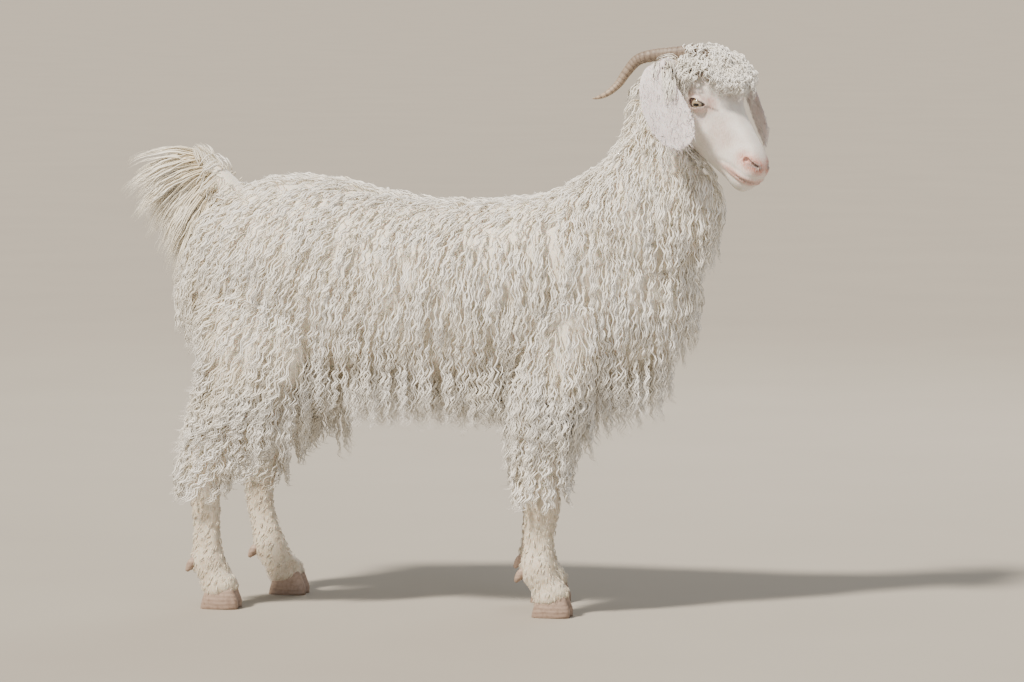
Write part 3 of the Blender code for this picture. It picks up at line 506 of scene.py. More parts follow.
def ball(place, radius, stretch=(1, 1, 1), sides=48):
    """A ball or an egg in the head's frame."""
    polar = np.linspace(0.02, math.pi - 0.02, sides // 2)
    turn = 2 * math.pi * np.arange(sides) / sides
    rings = np.stack([
        np.sin(polar)[:, None] * np.cos(turn),
        np.sin(polar)[:, None] * np.sin(turn),
        np.repeat(np.cos(polar)[:, None], sides, axis=1),
    ], axis=-1) * radius * np.array(stretch)
    return loft(at_head(rings + np.array(place)))


def head_tube(rows, hand, sides, between):
    """A tube whose rows are millimetres in the head's frame."""
    rows = np.array(rows, float)
    rows[:, 1] *= hand
    rows[:, :3] = at_head(rows[:, :3])
    rows[:, 3:] *= MM
    return loft(oval_rings(rows, sides, between, HEAD_LEFT))


def ear_shape(hand, sides=32, between=8):
    """An ear that leaves the head sideways as a tube, turns down and opens into a broad, waved cup."""
    rows = curve_through(EAR, between)
    centres = rows[:, :3] * (1, hand, 1)
    ahead = unit(np.gradient(centres, axis=0))
    flat = np.array((0, -hand * math.sin(EAR_BEND), math.cos(EAR_BEND)))
    flat = unit(flat - ahead * (ahead @ flat)[:, None])
    face = unit(np.cross(ahead, flat)) * hand
    angle = 2 * math.pi * np.arange(sides) / sides
    across, rise = np.cos(angle), np.sin(angle)
    half, out, inner = rows[:, 3:4], rows[:, 4:5], rows[:, 5:6]
    thick = rise * np.where(rise > 0, out, inner)
    cup = 0.30 * np.maximum(0.0, 1 - out / 10)
    along = np.linspace(0, 1, len(rows))[:, None]
    wave = 1.4 * np.sin(9 * along + 2) * across * smoothly(along, 0.4, 0.7)
    sag = -cup * half * across ** 2 + wave
    raised = face[:, None] * (thick + sag)[..., None]
    rings = centres[:, None] + flat[:, None] * (half * across)[..., None] + raised
    return loft(at_head(rings))


def lid_place(places):
    """Places along the slant of the lids and across it, from the middle of the eye."""
    across = places[:, [0, 2]] - np.array((EYE_PLACE[0], EYE_PLACE[2]))
    c, s = math.cos(LID_SLANT), math.sin(LID_SLANT)
    along = across[:, 0] * c + across[:, 1] * s
    high = -across[:, 0] * s + across[:, 1] * c
    return along, high


def lid_opening(hand):
    """The almond that opens the lids, longer in front, where it runs out in the tear duct."""
    angle = 2 * math.pi * np.arange(40) / 40
    tear_duct = TEAR_RUN * np.clip(np.cos(angle) - 0.80, 0, 1) / 0.20
    along = LID_HALF_LENGTH * np.cos(angle) - LID_BEHIND + tear_duct
    high = LID_HALF_HEIGHT * np.sin(angle)
    c, s = math.cos(LID_SLANT), math.sin(LID_SLANT)
    u = EYE_PLACE[0] + along * c - high * s
    w = EYE_PLACE[2] + along * s + high * c
    rings = [np.stack([u, np.full(40, hand * (EYE_PLACE[1] + out)), w], axis=1) for out in (3, 14, 26)]
    return loft(at_head(rings))


def mouth_cut():
    """The line of the mouth: a thin curved sheet that cuts in from both sides and the front."""
    line = curve_through(MOUTH, 5)
    line = np.vstack([line, (line * (1, -1, 1))[-2::-1]])
    rings = []
    for u, v, w in line:
        deep = np.array((-0.45, -math.copysign(min(1.0, abs(v) / 18), v), -0.12))
        deep *= MOUTH_DEPTH / np.linalg.norm(deep)
        outer = np.array((u, v, w)) - deep * 0.35
        inner = np.array((u, v, w)) + deep
        lift = np.array((0.30, 0, 0.95)) * LIPS_APART
        rings.append([outer - lift, outer + lift, inner + lift * 0.4, inner - lift * 0.4])
    return loft(at_head(rings))


def nostril_cut(surface, hand):
    """A tube that follows the skin just under it, so that it opens along its whole length."""
    rows = []
    for u, v, w, half in curve_through(NOSTRIL, 4):
        near, normal, _, _ = surface.find_nearest(Vector(at_head((u, hand * v, w))))
        place = in_head(np.array(near - normal * 2.0 * MM)[None])[0]
        rows.append((place[0], place[1] * hand, place[2], 5.0, half, half))
    return head_tube(rows, hand, 16, 1)


def distance_to_line(places, line):
    """How far points are from a line of points."""
    best = np.full(len(places), 1e9)
    for a, b in zip(line[:-1], line[1:]):
        way = b - a
        t = np.clip((places - a) @ way / (way @ way), 0, 1)
        best = np.minimum(best, np.linalg.norm(places - a - t[:, None] * way, axis=1))
    return best


def sculpt_face(head):
    """Swells, hollows, folds and fine wrinkles over the head."""
    places = in_head(points_of(head.data))
    places[:, 1] = np.abs(places[:, 1])
    normals = points_of(head.data, "normal")
    push = np.zeros(len(places))
    for centre, reach, height in FACE_FORMS:
        push += height * np.exp(-((places - centre) ** 2).sum(axis=1) / (2 * (reach * 0.7) ** 2))
    line = curve_through(MOUTH, 4)
    from_mouth = distance_to_line(places, line)
    push += 1.3 * swell(from_mouth, 4.5, 2.6)
    push -= 0.7 * swell(from_mouth, 9.5, 2.5)
    on_face = 1 - smoothly(places[:, 1], 52, 60)
    along, high = lid_place(places)
    round_eye = np.hypot(along / 1.15, high)
    beside = smoothly(places[:, 1], 24, 34) * on_face
    above = smoothly(high, -4, 6)
    push += beside * above * (0.5 * swell(round_eye, 15.5, 1.6) - 1.1 * swell(round_eye, 12.4, 1.2))
    push += beside * (1 - above) * (0.6 * swell(round_eye, 14.5, 1.7) - 0.6 * swell(round_eye, 18.0, 1.7))
    u, v, w = places.T
    side_of_nose = smoothly(u, 78, 96) * (1 - smoothly(u, 150, 172))
    side_of_nose = side_of_nose * smoothly(v, 9, 17) * smoothly(w, -44, -30) * on_face
    waved = u - 0.35 * w + 2.2 * np.sin(v * 0.23) + 1.9 * np.sin(w * 0.31 + u * 0.06)
    crease = np.sin(2 * math.pi * waved / WRINKLE)
    push += WRINKLE_HEIGHT * side_of_nose * crease * (0.7 + 0.3 * np.sin(u * 0.11 + w * 0.2))
    by_nostril = swell(u, 172, 5) * smoothly(v, 12, 20) * smoothly(w, -32, -22)
    push -= 0.9 * by_nostril
    set_points(head.data, points_of(head.data) + normals * (push * MM)[:, None])


def head_skin():
    """The head with its lids, ears, eye sockets, nostrils and mouth."""
    u, v, w = EYE_PLACE
    shapes = [head_shape()]
    for hand in (-1, 1):
        shapes.append(ball((u, hand * v, w), EYE_RADIUS + LID_THICKNESS, (1.12, 1, 0.98)))
        shapes.append(ear_shape(hand))
    head = new_object("head_skin", together(shapes), moved=False)
    with_modifier(head, "REMESH", mode="VOXEL", voxel_size=HEAD_MESH)
    with_modifier(head, "SMOOTH", factor=0.5, iterations=5)
    sculpt_face(head)
    surface = surface_of(head.data)
    for hand in (-1, 1):
        boolean(head, "DIFFERENCE", ball((u, hand * v, w), EYE_RADIUS + 0.3))
        boolean(head, "DIFFERENCE", lid_opening(hand))
        boolean(head, "DIFFERENCE", nostril_cut(surface, hand))
    boolean(head, "DIFFERENCE", mouth_cut())
    with_modifier(head, "REMESH", mode="VOXEL", voxel_size=HEAD_MESH * 0.92)
    with_modifier(head, "SMOOTH", factor=0.5, iterations=2)
    return head


def blot(places, middle, reach):
    """A soft patch of colour: 1 at its middle, with its own reach along each axis."""
    return np.exp(-(((places - middle) / reach) ** 2).sum(axis=1))


def mark_skin(mesh):
    """Values that colour the skin: rosy, dark (painted shade in the lids' opening, the mouth and the
    nostrils, and the damp tear line), like an ear, on a bare leg or under the fleece.
    """
    points = points_of(mesh)
    places = in_head(points)
    places[:, 1] = np.abs(places[:, 1])
    u, v, w = places.T
    on_head = (points[:, 2] > 0.60) & (u > -30) & (w > -125)
    ear = smoothly(v, 60, 74) * smoothly(w, -105, -92) * on_head
    ear = np.maximum(ear, 0.8 * blot(places, (84, 38, -40), (11, 14, 8)))
    along, high = lid_place(places)
    beside = smoothly(v, 24, 36) * (1 - smoothly(v, 56, 60)) * on_head
    from_middle = along + LID_BEHIND
    opening = np.hypot(from_middle / np.where(from_middle > 0, 16.0, 11.6), high / 7.3)
    # Painted shade: dark inside the lids' opening and along its rim
    dark = beside * swell(opening, 0.98, 0.10)
    dark = np.maximum(dark, beside * (opening < 1.0))
    # The damp tear line that runs on from the eye is dark of its own
    tear = distance_to_line(places[:, [0, 2]], np.array(TEAR_LINE))
    dark = np.maximum(dark, 0.8 * beside * swell(tear, 0, 1.7))
    from_mouth = distance_to_line(places, curve_through(MOUTH, 3))
    # Painted shade along the mouth's line
    dark = np.maximum(dark, 0.95 * swell(from_mouth, 0, 2.3) * on_head)
    nostril = np.array(NOSTRIL)[:, :3]
    from_nostril = distance_to_line(places, nostril)
    # Painted shade in the nostrils' slits
    dark = np.maximum(dark, 0.95 * np.exp(-(from_nostril / 5.4) ** 4) * on_head)
    rosy = np.minimum(1.0, 1.35 * swell(from_nostril, 0, 12.5))
    rosy = np.maximum(rosy, 0.80 * swell(from_mouth, 2, 6))
    rosy = np.maximum(rosy, 0.70 * blot(places, (74, 40, -9), (8, 12, 6)))
    rosy = np.maximum(rosy, 0.45 * beside * swell(opening, 1.4, 0.9))
    rosy = np.maximum(rosy, 0.30 * blot(places, (120, 28, -30), (34, 14, 22)))
    bare = 1 - smoothly(points[:, 2], FLEECE_HEM - 0.02, FLEECE_HEM + 0.03)
    set_attribute(mesh, "rosy", rosy * on_head)
    set_attribute(mesh, "dark", dark)
    set_attribute(mesh, "ear", ear)
    set_attribute(mesh, "bare_leg", bare)
    face = smoothly(u, -8, 6) * smoothly(w, -114, -104) * (points[:, 2] > 0.60)
    set_attribute(mesh, "fleeced", (1 - face) * (1 - bare) * (1 - ear))


# Coat

# A kind of lock, in metres: its length, how far it stands off the skin, the spacing of roots, how many
# strands it has, how wide it is at its root and tip, the size and length of its waves, the half width of
# a strand, and the steps from root to tip
Kind = namedtuple("Kind", "length lift spacing strands root tip wave wavelength half_width steps")
FLEECE = Kind(0.066, 0.021, 0.0215, 7, 0.012, 0.0050, 0.0024, 0.021, 0.00125, 13)
LOW_FLEECE = Kind(0.120, 0.022, 0.0215, 7, 0.012, 0.0045, 0.0042, 0.025, 0.0012, 17)
BACK = Kind(0.033, 0.009, 0.0190, 7, 0.012, 0.0070, 0.0014, 0.016, 0.0013, 8)
NECK_COAT = Kind(0.050, 0.015, 0.0180, 7, 0.011, 0.0050, 0.0020, 0.018, 0.0012, 10)
LEG_COAT = Kind(0.056, 0.020, 0.0180, 7, 0.010, 0.0045, 0.0032, 0.020, 0.0012, 12)
CURLS = Kind(0.050, 0.026, 0.0, 7, 0.006, 0.0045, 0.0027, 0.0105, 0.0011, 20)
TAIL_HAIR = Kind(0.180, 0.0, 0.0, 8, 0.008, 0.0080, 0.0013, 0.045, 0.0013, 12)
WISPS = Kind(0.034, 0.008, 0.0, 4, 0.005, 0.0035, 0.0014, 0.014, 0.0010, 7)
TEMPLE = Kind(0.040, 0.006, 0.0, 4, 0.005, 0.0040, 0.0012, 0.016, 0.0009, 9)
SHORT = Kind(0.011, 0.0008, 0.0076, 3, 0.003, 0.0025, 0.0002, 0.012, 0.0007, 4)
EAR_HAIR = Kind(0.012, 0.0003, 0.0060, 2, 0.003, 0.0020, 0.0003, 0.012, 0.0005, 4)

# How close two roots come, as a share of their spacing, and how many places are tried for them
CLOSEST = 0.78
FLEECE_TRIES = 14000
SHIN_TRIES = 9000
EAR_TRIES = 6000

# How many locks the tail has, and how many are tried behind the ears and over them
TAIL_LOCKS = 190
WISP_TRIES = 640
TEMPLE_TRIES = 150

# Curls of the brow, in millimetres: how far apart, how far from the middle of a horn, and how far down
# the brow they start, less to the sides
CURL_SPACING = 5.2
CURL_FROM_HORN = 7
BROW_LINE = 54
BROW_BEND = 0.020

# How deep a root sits. A lock leaves the skin where it faces down this much or is this far off, and
# then droops this much at each step
ROOT_DEPTH = 0.003
FACES_DOWN = -0.35
OFF_SKIN = 0.012
DROOP = 0.40

# The size of a strand's patch on the map, and the most triangles in one piece
PATCH = 0.003
PIECE_LIMIT = 195000

Guide = namedtuple("Guide", "points outs length lift phase wavelength")


def lie_of(point, normal):
    """Where the coat points: down, a little back, more so on the rump and along the spine."""
    flat = max(0.0, normal.z) ** 2
    back = min(0.6, max(0.06, 0.26 - 1.1 * (point.x + 0.10))) + 0.5 * flat
    aside = math.copysign(min(1.0, abs(point.y) / 0.07), point.y)
    way = Vector((-back, aside * 0.9 * flat, -1.0))
    return (way - normal * way.dot(normal)).normalized()


def scatter(mesh, spacing_at, draw, tries):
    """Roots at random over the faces of a mesh, none too close to another: place and outward direction."""
    count = len(mesh.polygons)
    centres = np.zeros(count * 3, np.float32)
    normals = np.zeros(count * 3, np.float32)
    areas = np.zeros(count, np.float32)
    mesh.polygons.foreach_get("center", centres)
    mesh.polygons.foreach_get("normal", normals)
    mesh.polygons.foreach_get("area", areas)
    centres = centres.reshape(-1, 3).astype(float)
    normals = normals.reshape(-1, 3).astype(float)
    spacing = spacing_at(centres, normals)
    weights = np.where(spacing > 0, areas / np.maximum(spacing, 1e-4) ** 2, 0)
    picks = draw.choice(count, size=tries, p=weights / weights.sum())
    cells, kept = {}, []
    size = spacing[spacing > 0].max()
    for pick in picks:
        place, apart = centres[pick], spacing[pick]
        cell = tuple((place // size).astype(int))
        close = False
        for dx in (-1, 0, 1):
            for dy in (-1, 0, 1):
                for dz in (-1, 0, 1):
                    for other in cells.get((cell[0] + dx, cell[1] + dy, cell[2] + dz), ()):
                        if ((centres[other] - place) ** 2).sum() < (apart * CLOSEST) ** 2:
                            close = True
        if not close:
            cells.setdefault(cell, []).append(pick)
            kept.append(pick)
    return [(Vector(centres[k]), Vector(normals[k])) for k in kept]


def lay_down(surface, root, normal, kind, draw, lie=lie_of, size=1.0, turn=0.22):
    """A guide along the lie of the coat, which hangs free where the skin turns under."""
    length = kind.length * size * draw.uniform(0.86, 1.12)
    step = length / (kind.steps - 1)
    point = root - normal * ROOT_DEPTH
    way = Matrix.Rotation(draw.normal(0, turn), 3, normal) @ lie(root, normal)
    out, free = normal.copy(), False
    points, outs = [], []
    for _ in range(kind.steps):
        points.append(point[:])
        outs.append(out[:])
        ahead = point + way * step
        near, skin_out, _, far = surface.find_nearest(ahead)
        if free or skin_out.z < FACES_DOWN or far > OFF_SKIN:
            free = free or skin_out.z < FACES_DOWN
            way = (way - UP * DROOP).normalized()
            point = ahead
            out = (out - way * out.dot(way)).normalized()
        else:
            point = near
            way = way - skin_out * way.dot(skin_out)
            way = (way.normalized() * 0.75 + lie(near, skin_out) * 0.25).normalized()
            out = skin_out
    phase = draw.uniform(0, 2 * math.pi)
    lift = kind.lift * draw.uniform(0.55, 1.15)
    return Guide(points, outs, length, lift, phase, kind.wavelength * draw.uniform(0.8, 1.25))


def free_guide(points, outs, length, kind, draw):
    """A guide on a path of its own, with no lift."""
    phase = draw.uniform(0, 6.28)
    return Guide(points, outs, length, 0.0, phase, kind.wavelength * draw.uniform(0.8, 1.3))


def strands(guides, kind, draw, curl=0.0, early=4.0):
    """Points, triangles, values along and in tone, and map places of the strands of many locks."""
    steps = kind.steps
    path = np.array([guide.points for guide in guides])
    out = np.array([guide.outs for guide in guides])
    lock = np.repeat(np.arange(len(guides)), kind.strands)
    count = len(lock)
    length = np.array([guide.length for guide in guides])[lock]
    lift = np.array([guide.lift for guide in guides])[lock]
    phase = np.array([guide.phase for guide in guides])[lock] + draw.normal(0, 0.8, count)
    wavelength = np.array([guide.wavelength for guide in guides])[lock]
    # Every strand starts from its lock's guide
    path, out = path[lock], out[lock]
    ahead = unit(np.gradient(path, axis=1))
    side = unit(np.cross(ahead, out))
    out = unit(np.cross(side, ahead))
    t = np.linspace(0, 1, steps)
    # It has its own place in the lock, which narrows to its tip and rises off the skin
    angle = draw.uniform(0, 2 * math.pi, count)
    radius = np.sqrt(draw.uniform(0.02, 1, count))
    spread = (kind.root * (1 - t) ** 0.8 + kind.tip)[None] * radius[:, None]
    rise = lift[:, None] * (1 - np.exp(-early * t)) / (1 - math.exp(-early))
    rise = rise + (np.sin(angle) * 0.5 + 0.35)[:, None] * spread * 0.6
    # It waves from side to side and up and down, and its tip may curl
    wave = kind.wave * (0.30 + 0.70 * smoothly(t, 0.0, 0.5))[None] * draw.uniform(0.7, 1.3, (count, 1))
    swing = 2 * math.pi * (t[None] * length[:, None]) / wavelength[:, None] + phase[:, None]
    sway = np.cos(angle)[:, None] * spread + wave * np.sin(swing)
    tips = curl * (smoothly(t, 0.72, 1.0) ** 2)[None] * draw.uniform(0.2, 1.3, (count, 1))
    rise = rise + 0.65 * wave * np.cos(swing) + tips
    centre = path + side * sway[..., None] + out * rise[..., None]
    centre[..., 2] += curl * 0.8 * (smoothly(t, 0.78, 1.0) ** 2)[None]
    ahead = unit(np.gradient(centre, axis=1))
    # Three sides round each of its points, flat like a ribbon, turned a little, and thin at the tip
    roll = draw.uniform(-0.9, 0.9, count)[:, None, None] + 0.25 * np.sin(swing)[..., None]
    across = unit(np.cross(ahead, out))
    face = np.cross(across, ahead)
    across, face = across * np.cos(roll) + face * np.sin(roll), face * np.cos(roll) - across * np.sin(roll)
    taper = (0.62 + 0.38 * np.sin(math.pi * np.clip(t * 1.3, 0, 1))) * (1 - smoothly(t, 0.55, 1.0) * 0.92)
    half = kind.half_width * taper[None, :, None] * draw.uniform(0.75, 1.25, (count, 1, 1))
    far_edge = centre - across * half - face * half * 0.25
    rings = np.stack([centre + across * half, far_edge, centre + face * half * 0.75], axis=2)
    points = rings.reshape(-1, 3)
    first = (np.arange(count) * steps * 3)[:, None, None]
    low = (np.arange(steps - 1) * 3)[None, :, None]
    k = np.arange(3)[None, None]
    after = (k + 1) % 3
    a, b, c, d = (first + low + x for x in (k, after, after + 3, k + 3))
    walls = np.concatenate([np.stack([a, b, c], -1).reshape(-1, 3), np.stack([a, c, d], -1).reshape(-1, 3)])
    base = np.arange(count)[:, None] * steps * 3
    last = base + (steps - 1) * 3
    triangles = np.concatenate([walls, base + np.array([[2, 1, 0]]), last + np.array([[0, 1, 2]])])
    along = np.tile(np.repeat(t, 3), count)
    tone = np.repeat(draw.uniform(0, 1, count), steps * 3)
    # Its patch of the map lies where its root is
    place = map_place(path[:, 0])
    inside = np.stack([np.tile(np.array((0.1, 0.9, 0.5)), count * steps), along], axis=1) * PATCH
    places = np.repeat(place, steps * 3, axis=0) + inside
    return points, triangles, along, tone, places


def leg_axis(leg, height):
    """Where the middle of a leg is at given heights."""
    rows = np.array(leg_rows(leg))[::-1]
    return np.interp(height, rows[:, 2], rows[:, 0]), np.interp(height, rows[:, 2], rows[:, 1])


def map_place(points):
    """Places on an unwrap of the skin: trunk, neck, head and each leg are opened out side by side."""
    x, y, z = points.T
    turn = np.arctan2(y, z - 0.50) / (2 * math.pi) + 0.5
    out = np.stack([0.02 + 0.60 * (x + 0.46) / 0.92, 0.02 + 0.54 * turn], axis=1)
    on_neck = (x > 0.20) & (z > 0.62)
    turn = np.arctan2(y, x - 0.31) / (2 * math.pi) + 0.5
    out[on_neck] = np.stack([0.66 + 0.30 * (z - 0.60) / 0.30, 0.02 + 0.25 * turn], axis=1)[on_neck]
    places = in_head(points)
    on_head = (np.abs(places) < (140, 120, 130)).all(axis=1) & (z > 0.74) & (places[:, 0] > -14)
    turn = np.arctan2(places[:, 1], places[:, 2] + 50) / (2 * math.pi) + 0.5
    out[on_head] = np.stack([0.66 + 0.30 * (places[:, 0] + 20) / 240, 0.30 + 0.26 * turn], axis=1)[on_head]
    for k, leg in enumerate(LEGS):
        axis_x, axis_y = leg_axis(leg, z)
        on_leg = (z < 0.36) & (np.hypot(x - axis_x, y - axis_y) < 0.09)
        turn = np.arctan2(y - axis_y, x - axis_x) / (2 * math.pi) + 0.5
        across = 0.02 + 0.24 * k + 0.20 * turn
        out[on_leg] = np.stack([across, 0.60 + 0.36 * z / 0.37], axis=1)[on_leg]
    return out


def coat_piece(name, parts, material, slot):
    """Coat meshes from groups of strands, split where one would be too heavy."""
    total = sum(len(part[1]) for part in parts)
    if total > PIECE_LIMIT:
        half = len(parts) // 2
        coat_piece(name + "_a", parts[:half], material, slot)
        coat_piece(name + "_b", parts[half:], material, slot)
        return
    points, triangles = together([part[:2] for part in parts])
    made = new_object(name, (points, triangles))
    set_attribute(made.data, "along", np.concatenate([part[2] for part in parts]))
    set_attribute(made.data, "tone", np.concatenate([part[3] for part in parts]))
    places = np.concatenate([part[4] for part in parts])
    layer = made.data.uv_layers.new(name="OFBake")
    layer.data.foreach_set("uv", places[triangles.ravel()].astype(np.float32).ravel())
    made.data.materials.append(material)
    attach(made, "root")


def groups_of(guides, kind, draw, size=120, **more):
    """The strands of many guides, in groups of a few locks."""
    return [strands(guides[k:k + size], kind, draw, **more) for k in range(0, len(guides), size)]


def where(point):
    """The part of the fleece that a root is in."""
    side = "left" if point.y > 0 else "right"
    if point.z > 0.66 and point.x > 0.22:
        return "neck"
    if point.z < 0.34 and abs(point.y) > 0.035 and (point.x > 0.07 or point.x < -0.22):
        return "foreleg_" + side if point.x > 0 else "hindleg_" + side
    if point.x > 0.13:
        return "shoulder_" + side
    return ("flank_" if point.x > -0.16 else "haunch_") + side


def fleece_spacing(centres, normals):
    """How far apart roots are: nothing on the bare shins and where the head covers the neck."""
    x, _, z = centres.T
    spacing = np.full(len(centres), FLEECE.spacing)
    spacing = np.where(normals[:, 2] > 0.75, BACK.spacing, spacing)
    spacing = np.where((z > 0.64) & (x > 0.2), NECK_COAT.spacing, spacing)
    spacing = np.where(z < 0.36, LEG_COAT.spacing, spacing)
    under_head = (z > 0.785) & (x > 0.3) & ((normals[:, 0] > -0.25) | (z > 0.85))
    spacing[(z < FLEECE_HEM + 0.018) | under_head] = 0
    return spacing


def fleece(body, surface, draw, material):
    """The wavy fleece of trunk, neck and upper legs."""
    guides = {}
    for root, normal in scatter(body.data, fleece_spacing, draw, FLEECE_TRIES):
        region = where(root)
        if "leg" in region:
            kind = LEG_COAT
            drop = root.z - (FLEECE_HEM - 0.022)
            size = min(1.0, max(0.45, drop / kind.length))
        elif region == "neck":
            kind = NECK_COAT
            size = 1.0 - 0.35 * float(smoothly(root.z, 0.70, 0.80))
        elif normal.z > 0.75:
            kind, size = BACK, 1.0
        else:
            kind = LOW_FLEECE if root.z < 0.44 else FLEECE
            shorter_above = 0.30 * float(smoothly(normal.z, 0.30, 0.75))
            size = 1.0 - shorter_above - 0.25 * float(smoothly(-normal.z, 0.6, 0.95))
        guide = lay_down(surface, root, normal, kind, draw, size=size)
        guides.setdefault((region, kind), []).append(guide)
    parts = {}
    for (region, kind), found in sorted(guides.items(), key=lambda item: (item[0][0], item[0][1].length)):
        curl = 0.009 if kind in (LEG_COAT, LOW_FLEECE) else 0.003
        parts.setdefault(region, []).extend(groups_of(found, kind, draw, curl=curl))
    for region, groups in parts.items():
        coat_piece("fleece_" + region, groups, material, "mohair")


def tail_hair(draw, material):
    """Long, nearly straight hair that fans out from the dock and falls."""
    rows = np.array(DOCK)
    guides = []
    for k in range(TAIL_LOCKS):
        # Every fourth lock is short and stands up; the rest fan out from low at the dock's root to its tip
        upright = k % 4 == 0
        share, hand = 1.08 * draw.uniform() ** 1.3 - 0.08, draw.uniform(-1.0, 1.0)
        at = np.clip(share, 0, 1) * 3 + 1
        centre = Vector([np.interp(at, np.arange(5), rows[:, axis]) for axis in range(3)])
        rise = -1.45 + 1.68 * share + draw.normal(0, 0.07)
        way = Vector((-0.85, 0.36 * hand, rise)).normalized()
        length = TAIL_HAIR.length * draw.uniform(0.78, 1.0) * (1.0 - 0.22 * max(0.0, share))
        if upright:
            way = Vector((-0.30, 0.30 * hand, 0.75 + 0.4 * draw.uniform())).normalized()
            length *= 0.22
        else:
            length *= 1.0 + 0.12 * max(0.0, 0.4 - share)
        out = Vector((0.3, hand, 0.5)).normalized()
        point = centre + Vector((0, hand * 0.008, 0))
        points, outs = [], []
        for _ in range(TAIL_HAIR.steps):
            points.append(point[:])
            out = (out - way * out.dot(way)).normalized()
            outs.append(out[:])
            point = point + way * length / (TAIL_HAIR.steps - 1)
            way = (way - UP * 1.0 / TAIL_HAIR.steps).normalized()
        guides.append(free_guide(points, outs, length, TAIL_HAIR, draw))
    coat_piece("tail_hair", groups_of(guides, TAIL_HAIR, draw), material, "mohair")


def head_roots(surface, places):
    """Roots on the head under given places in its frame."""
    down = HEAD.to_3x3() @ Vector((0, 0, -1))
    out = []
    for u, v in places:
        start = Vector(at_head((u, v, 70)))
        hit, normal, _, _ = surface.ray_cast(start, down)
        if hit:
            out.append((hit, normal, u, v))
    return out


def forelock(surface, draw, material):
    """Tight curls over the brow, from the horns to above the eyes, that leave the roots of the horns free."""
    turn = HEAD.to_3x3()
    places = [(u, v) for u in np.arange(-8, 56, CURL_SPACING) for v in np.arange(-39, 40, CURL_SPACING)]
    places = [(u, v) for u, v in places if u < BROW_LINE - BROW_BEND * v * v]
    places = [(u + draw.uniform(-2, 2), v + draw.uniform(-2, 2)) for u, v in places]
    horn_root = np.array([row[:2] for row in HORN[1:4]], float)
    from_horn = distance_to_line(np.array([(u, abs(v)) for u, v in places]), horn_root)
    places = [place for place, far in zip(places, from_horn) if far > CURL_FROM_HORN]
    guides = []
    for root, normal, u, v in head_roots(surface, places):
        length = CURLS.length * (1.0 - 0.006 * abs(v)) * draw.uniform(0.75, 1.05)
        way = turn @ Vector((0.9, v * 0.012 + draw.normal(0, 0.35), 0.1)) - UP * 0.25
        lift = CURLS.lift * draw.uniform(0.75, 1.15)
        points, outs = [], []
        for k in range(CURLS.steps):
            share = k / (CURLS.steps - 1)
            flat = (way - normal * way.dot(normal)).normalized()
            near, out, _, _ = surface.find_nearest(root + flat * length * share)
            high = lift * math.sin(math.pi * (0.02 + 0.80 * share ** 0.75))
            points.append((near + out * high)[:])
            outs.append(out[:])
        guides.append(free_guide(points, outs, length * 1.3, CURLS, draw))
    coat_piece("forelock", groups_of(guides, CURLS, draw), material, "mohair")


def wisps(surface, draw, material):
    """Soft hair behind the ears, at the poll and down the cheeks' edge, where face hair turns to fleece."""
    guides = []
    for _ in range(WISP_TRIES):
        u, v, w = draw.uniform(-18, 24), draw.choice((-1, 1)) * draw.uniform(0, 50), draw.uniform(-100, -6)
        aim = Vector(at_head((u, v, w)))
        near, normal, _, _ = surface.find_nearest(aim)
        place = in_head(np.array(near)[None])[0]
        if place[0] > 24 or abs(place[1]) > 56:
            continue
        guides.append(lay_down(surface, near, normal, WISPS, draw, turn=0.5))
    coat_piece("poll_and_cheek_hair", groups_of(guides, WISPS, draw), material, "mohair")


def temple_locks(surface, draw, material):
    """Thin wavy locks that grow behind the brow and hang over the front of each ear."""
    guides = []
    for _ in range(TEMPLE_TRIES):
        hand = draw.choice((-1, 1))
        aim = Vector(at_head((draw.uniform(-6, 26), hand * draw.uniform(46, 92), draw.uniform(-22, 0))))
        near, normal, _, _ = surface.find_nearest(aim)
        guides.append(lay_down(surface, near, normal, TEMPLE, draw, turn=0.3))
    coat_piece("temple_locks", groups_of(guides, TEMPLE, draw), material, "mohair")


def down_ear(point, normal):
    """Hair on an ear lies along it, towards its tip."""
    way = HEAD.to_3x3() @ Vector((1.0, 0.0, -0.25))
    return (way - normal * way.dot(normal)).normalized()


def ear_hair(head, surface, draw, material):
    """Short flat hair that covers the ears and fringes their edges, and the jaw's edge behind the mouth."""
    def spacing(centres, normals):
        u, v, w = in_head(centres).T
        ear = (np.abs(v) > 62) & (u > -20)
        jaw = (w < -84) & (u < 150) & (u > 4) & (np.abs(v) < 60)
        return np.where(ear | jaw, EAR_HAIR.spacing, 0)

    guides = [lay_down(surface, root, normal, EAR_HAIR, draw, lie=down_ear, turn=0.25)
              for root, normal in scatter(head.data, spacing, draw, EAR_TRIES)]
    coat_piece("ear_and_jaw_hair", groups_of(guides, EAR_HAIR, draw, early=2.5), material, "short_hair")


def leg_hair(body, surface, draw, material):
    """Short tufts that break the outline of shins, fetlocks and coronets."""
    def spacing(centres, normals):
        return np.where(centres[:, 2] < FLEECE_HEM + 0.03, SHORT.spacing * 1.35, 0)

    guides = [lay_down(surface, root, normal, SHORT, draw, turn=0.3)
              for root, normal in scatter(body.data, spacing, draw, SHIN_TRIES)]
    coat_piece("shin_hair", groups_of(guides, SHORT, draw, early=2.5), material, "short_hair")


# Eyes, horns and hooves

# Where each eye looks, along u, outwards and along w; then millimetres, and the sides of a ring
EYE_SIGHT = (0.34, 0.92, 0.10)
EYE_GAP = 0.15
CORNEA_HEIGHT = 1.1
EYE_SIDES = 64

# Horns: how far apart their rings are, how much they swell, and the sides of a ring
HORN_RING = 7.5
HORN_SWELL = 0.075
HORN_SIDES = 32

# How far each claw and each dewclaw stands from the middle of the foot
CLAW_APART = 0.0125
DEWCLAW_APART = 0.010


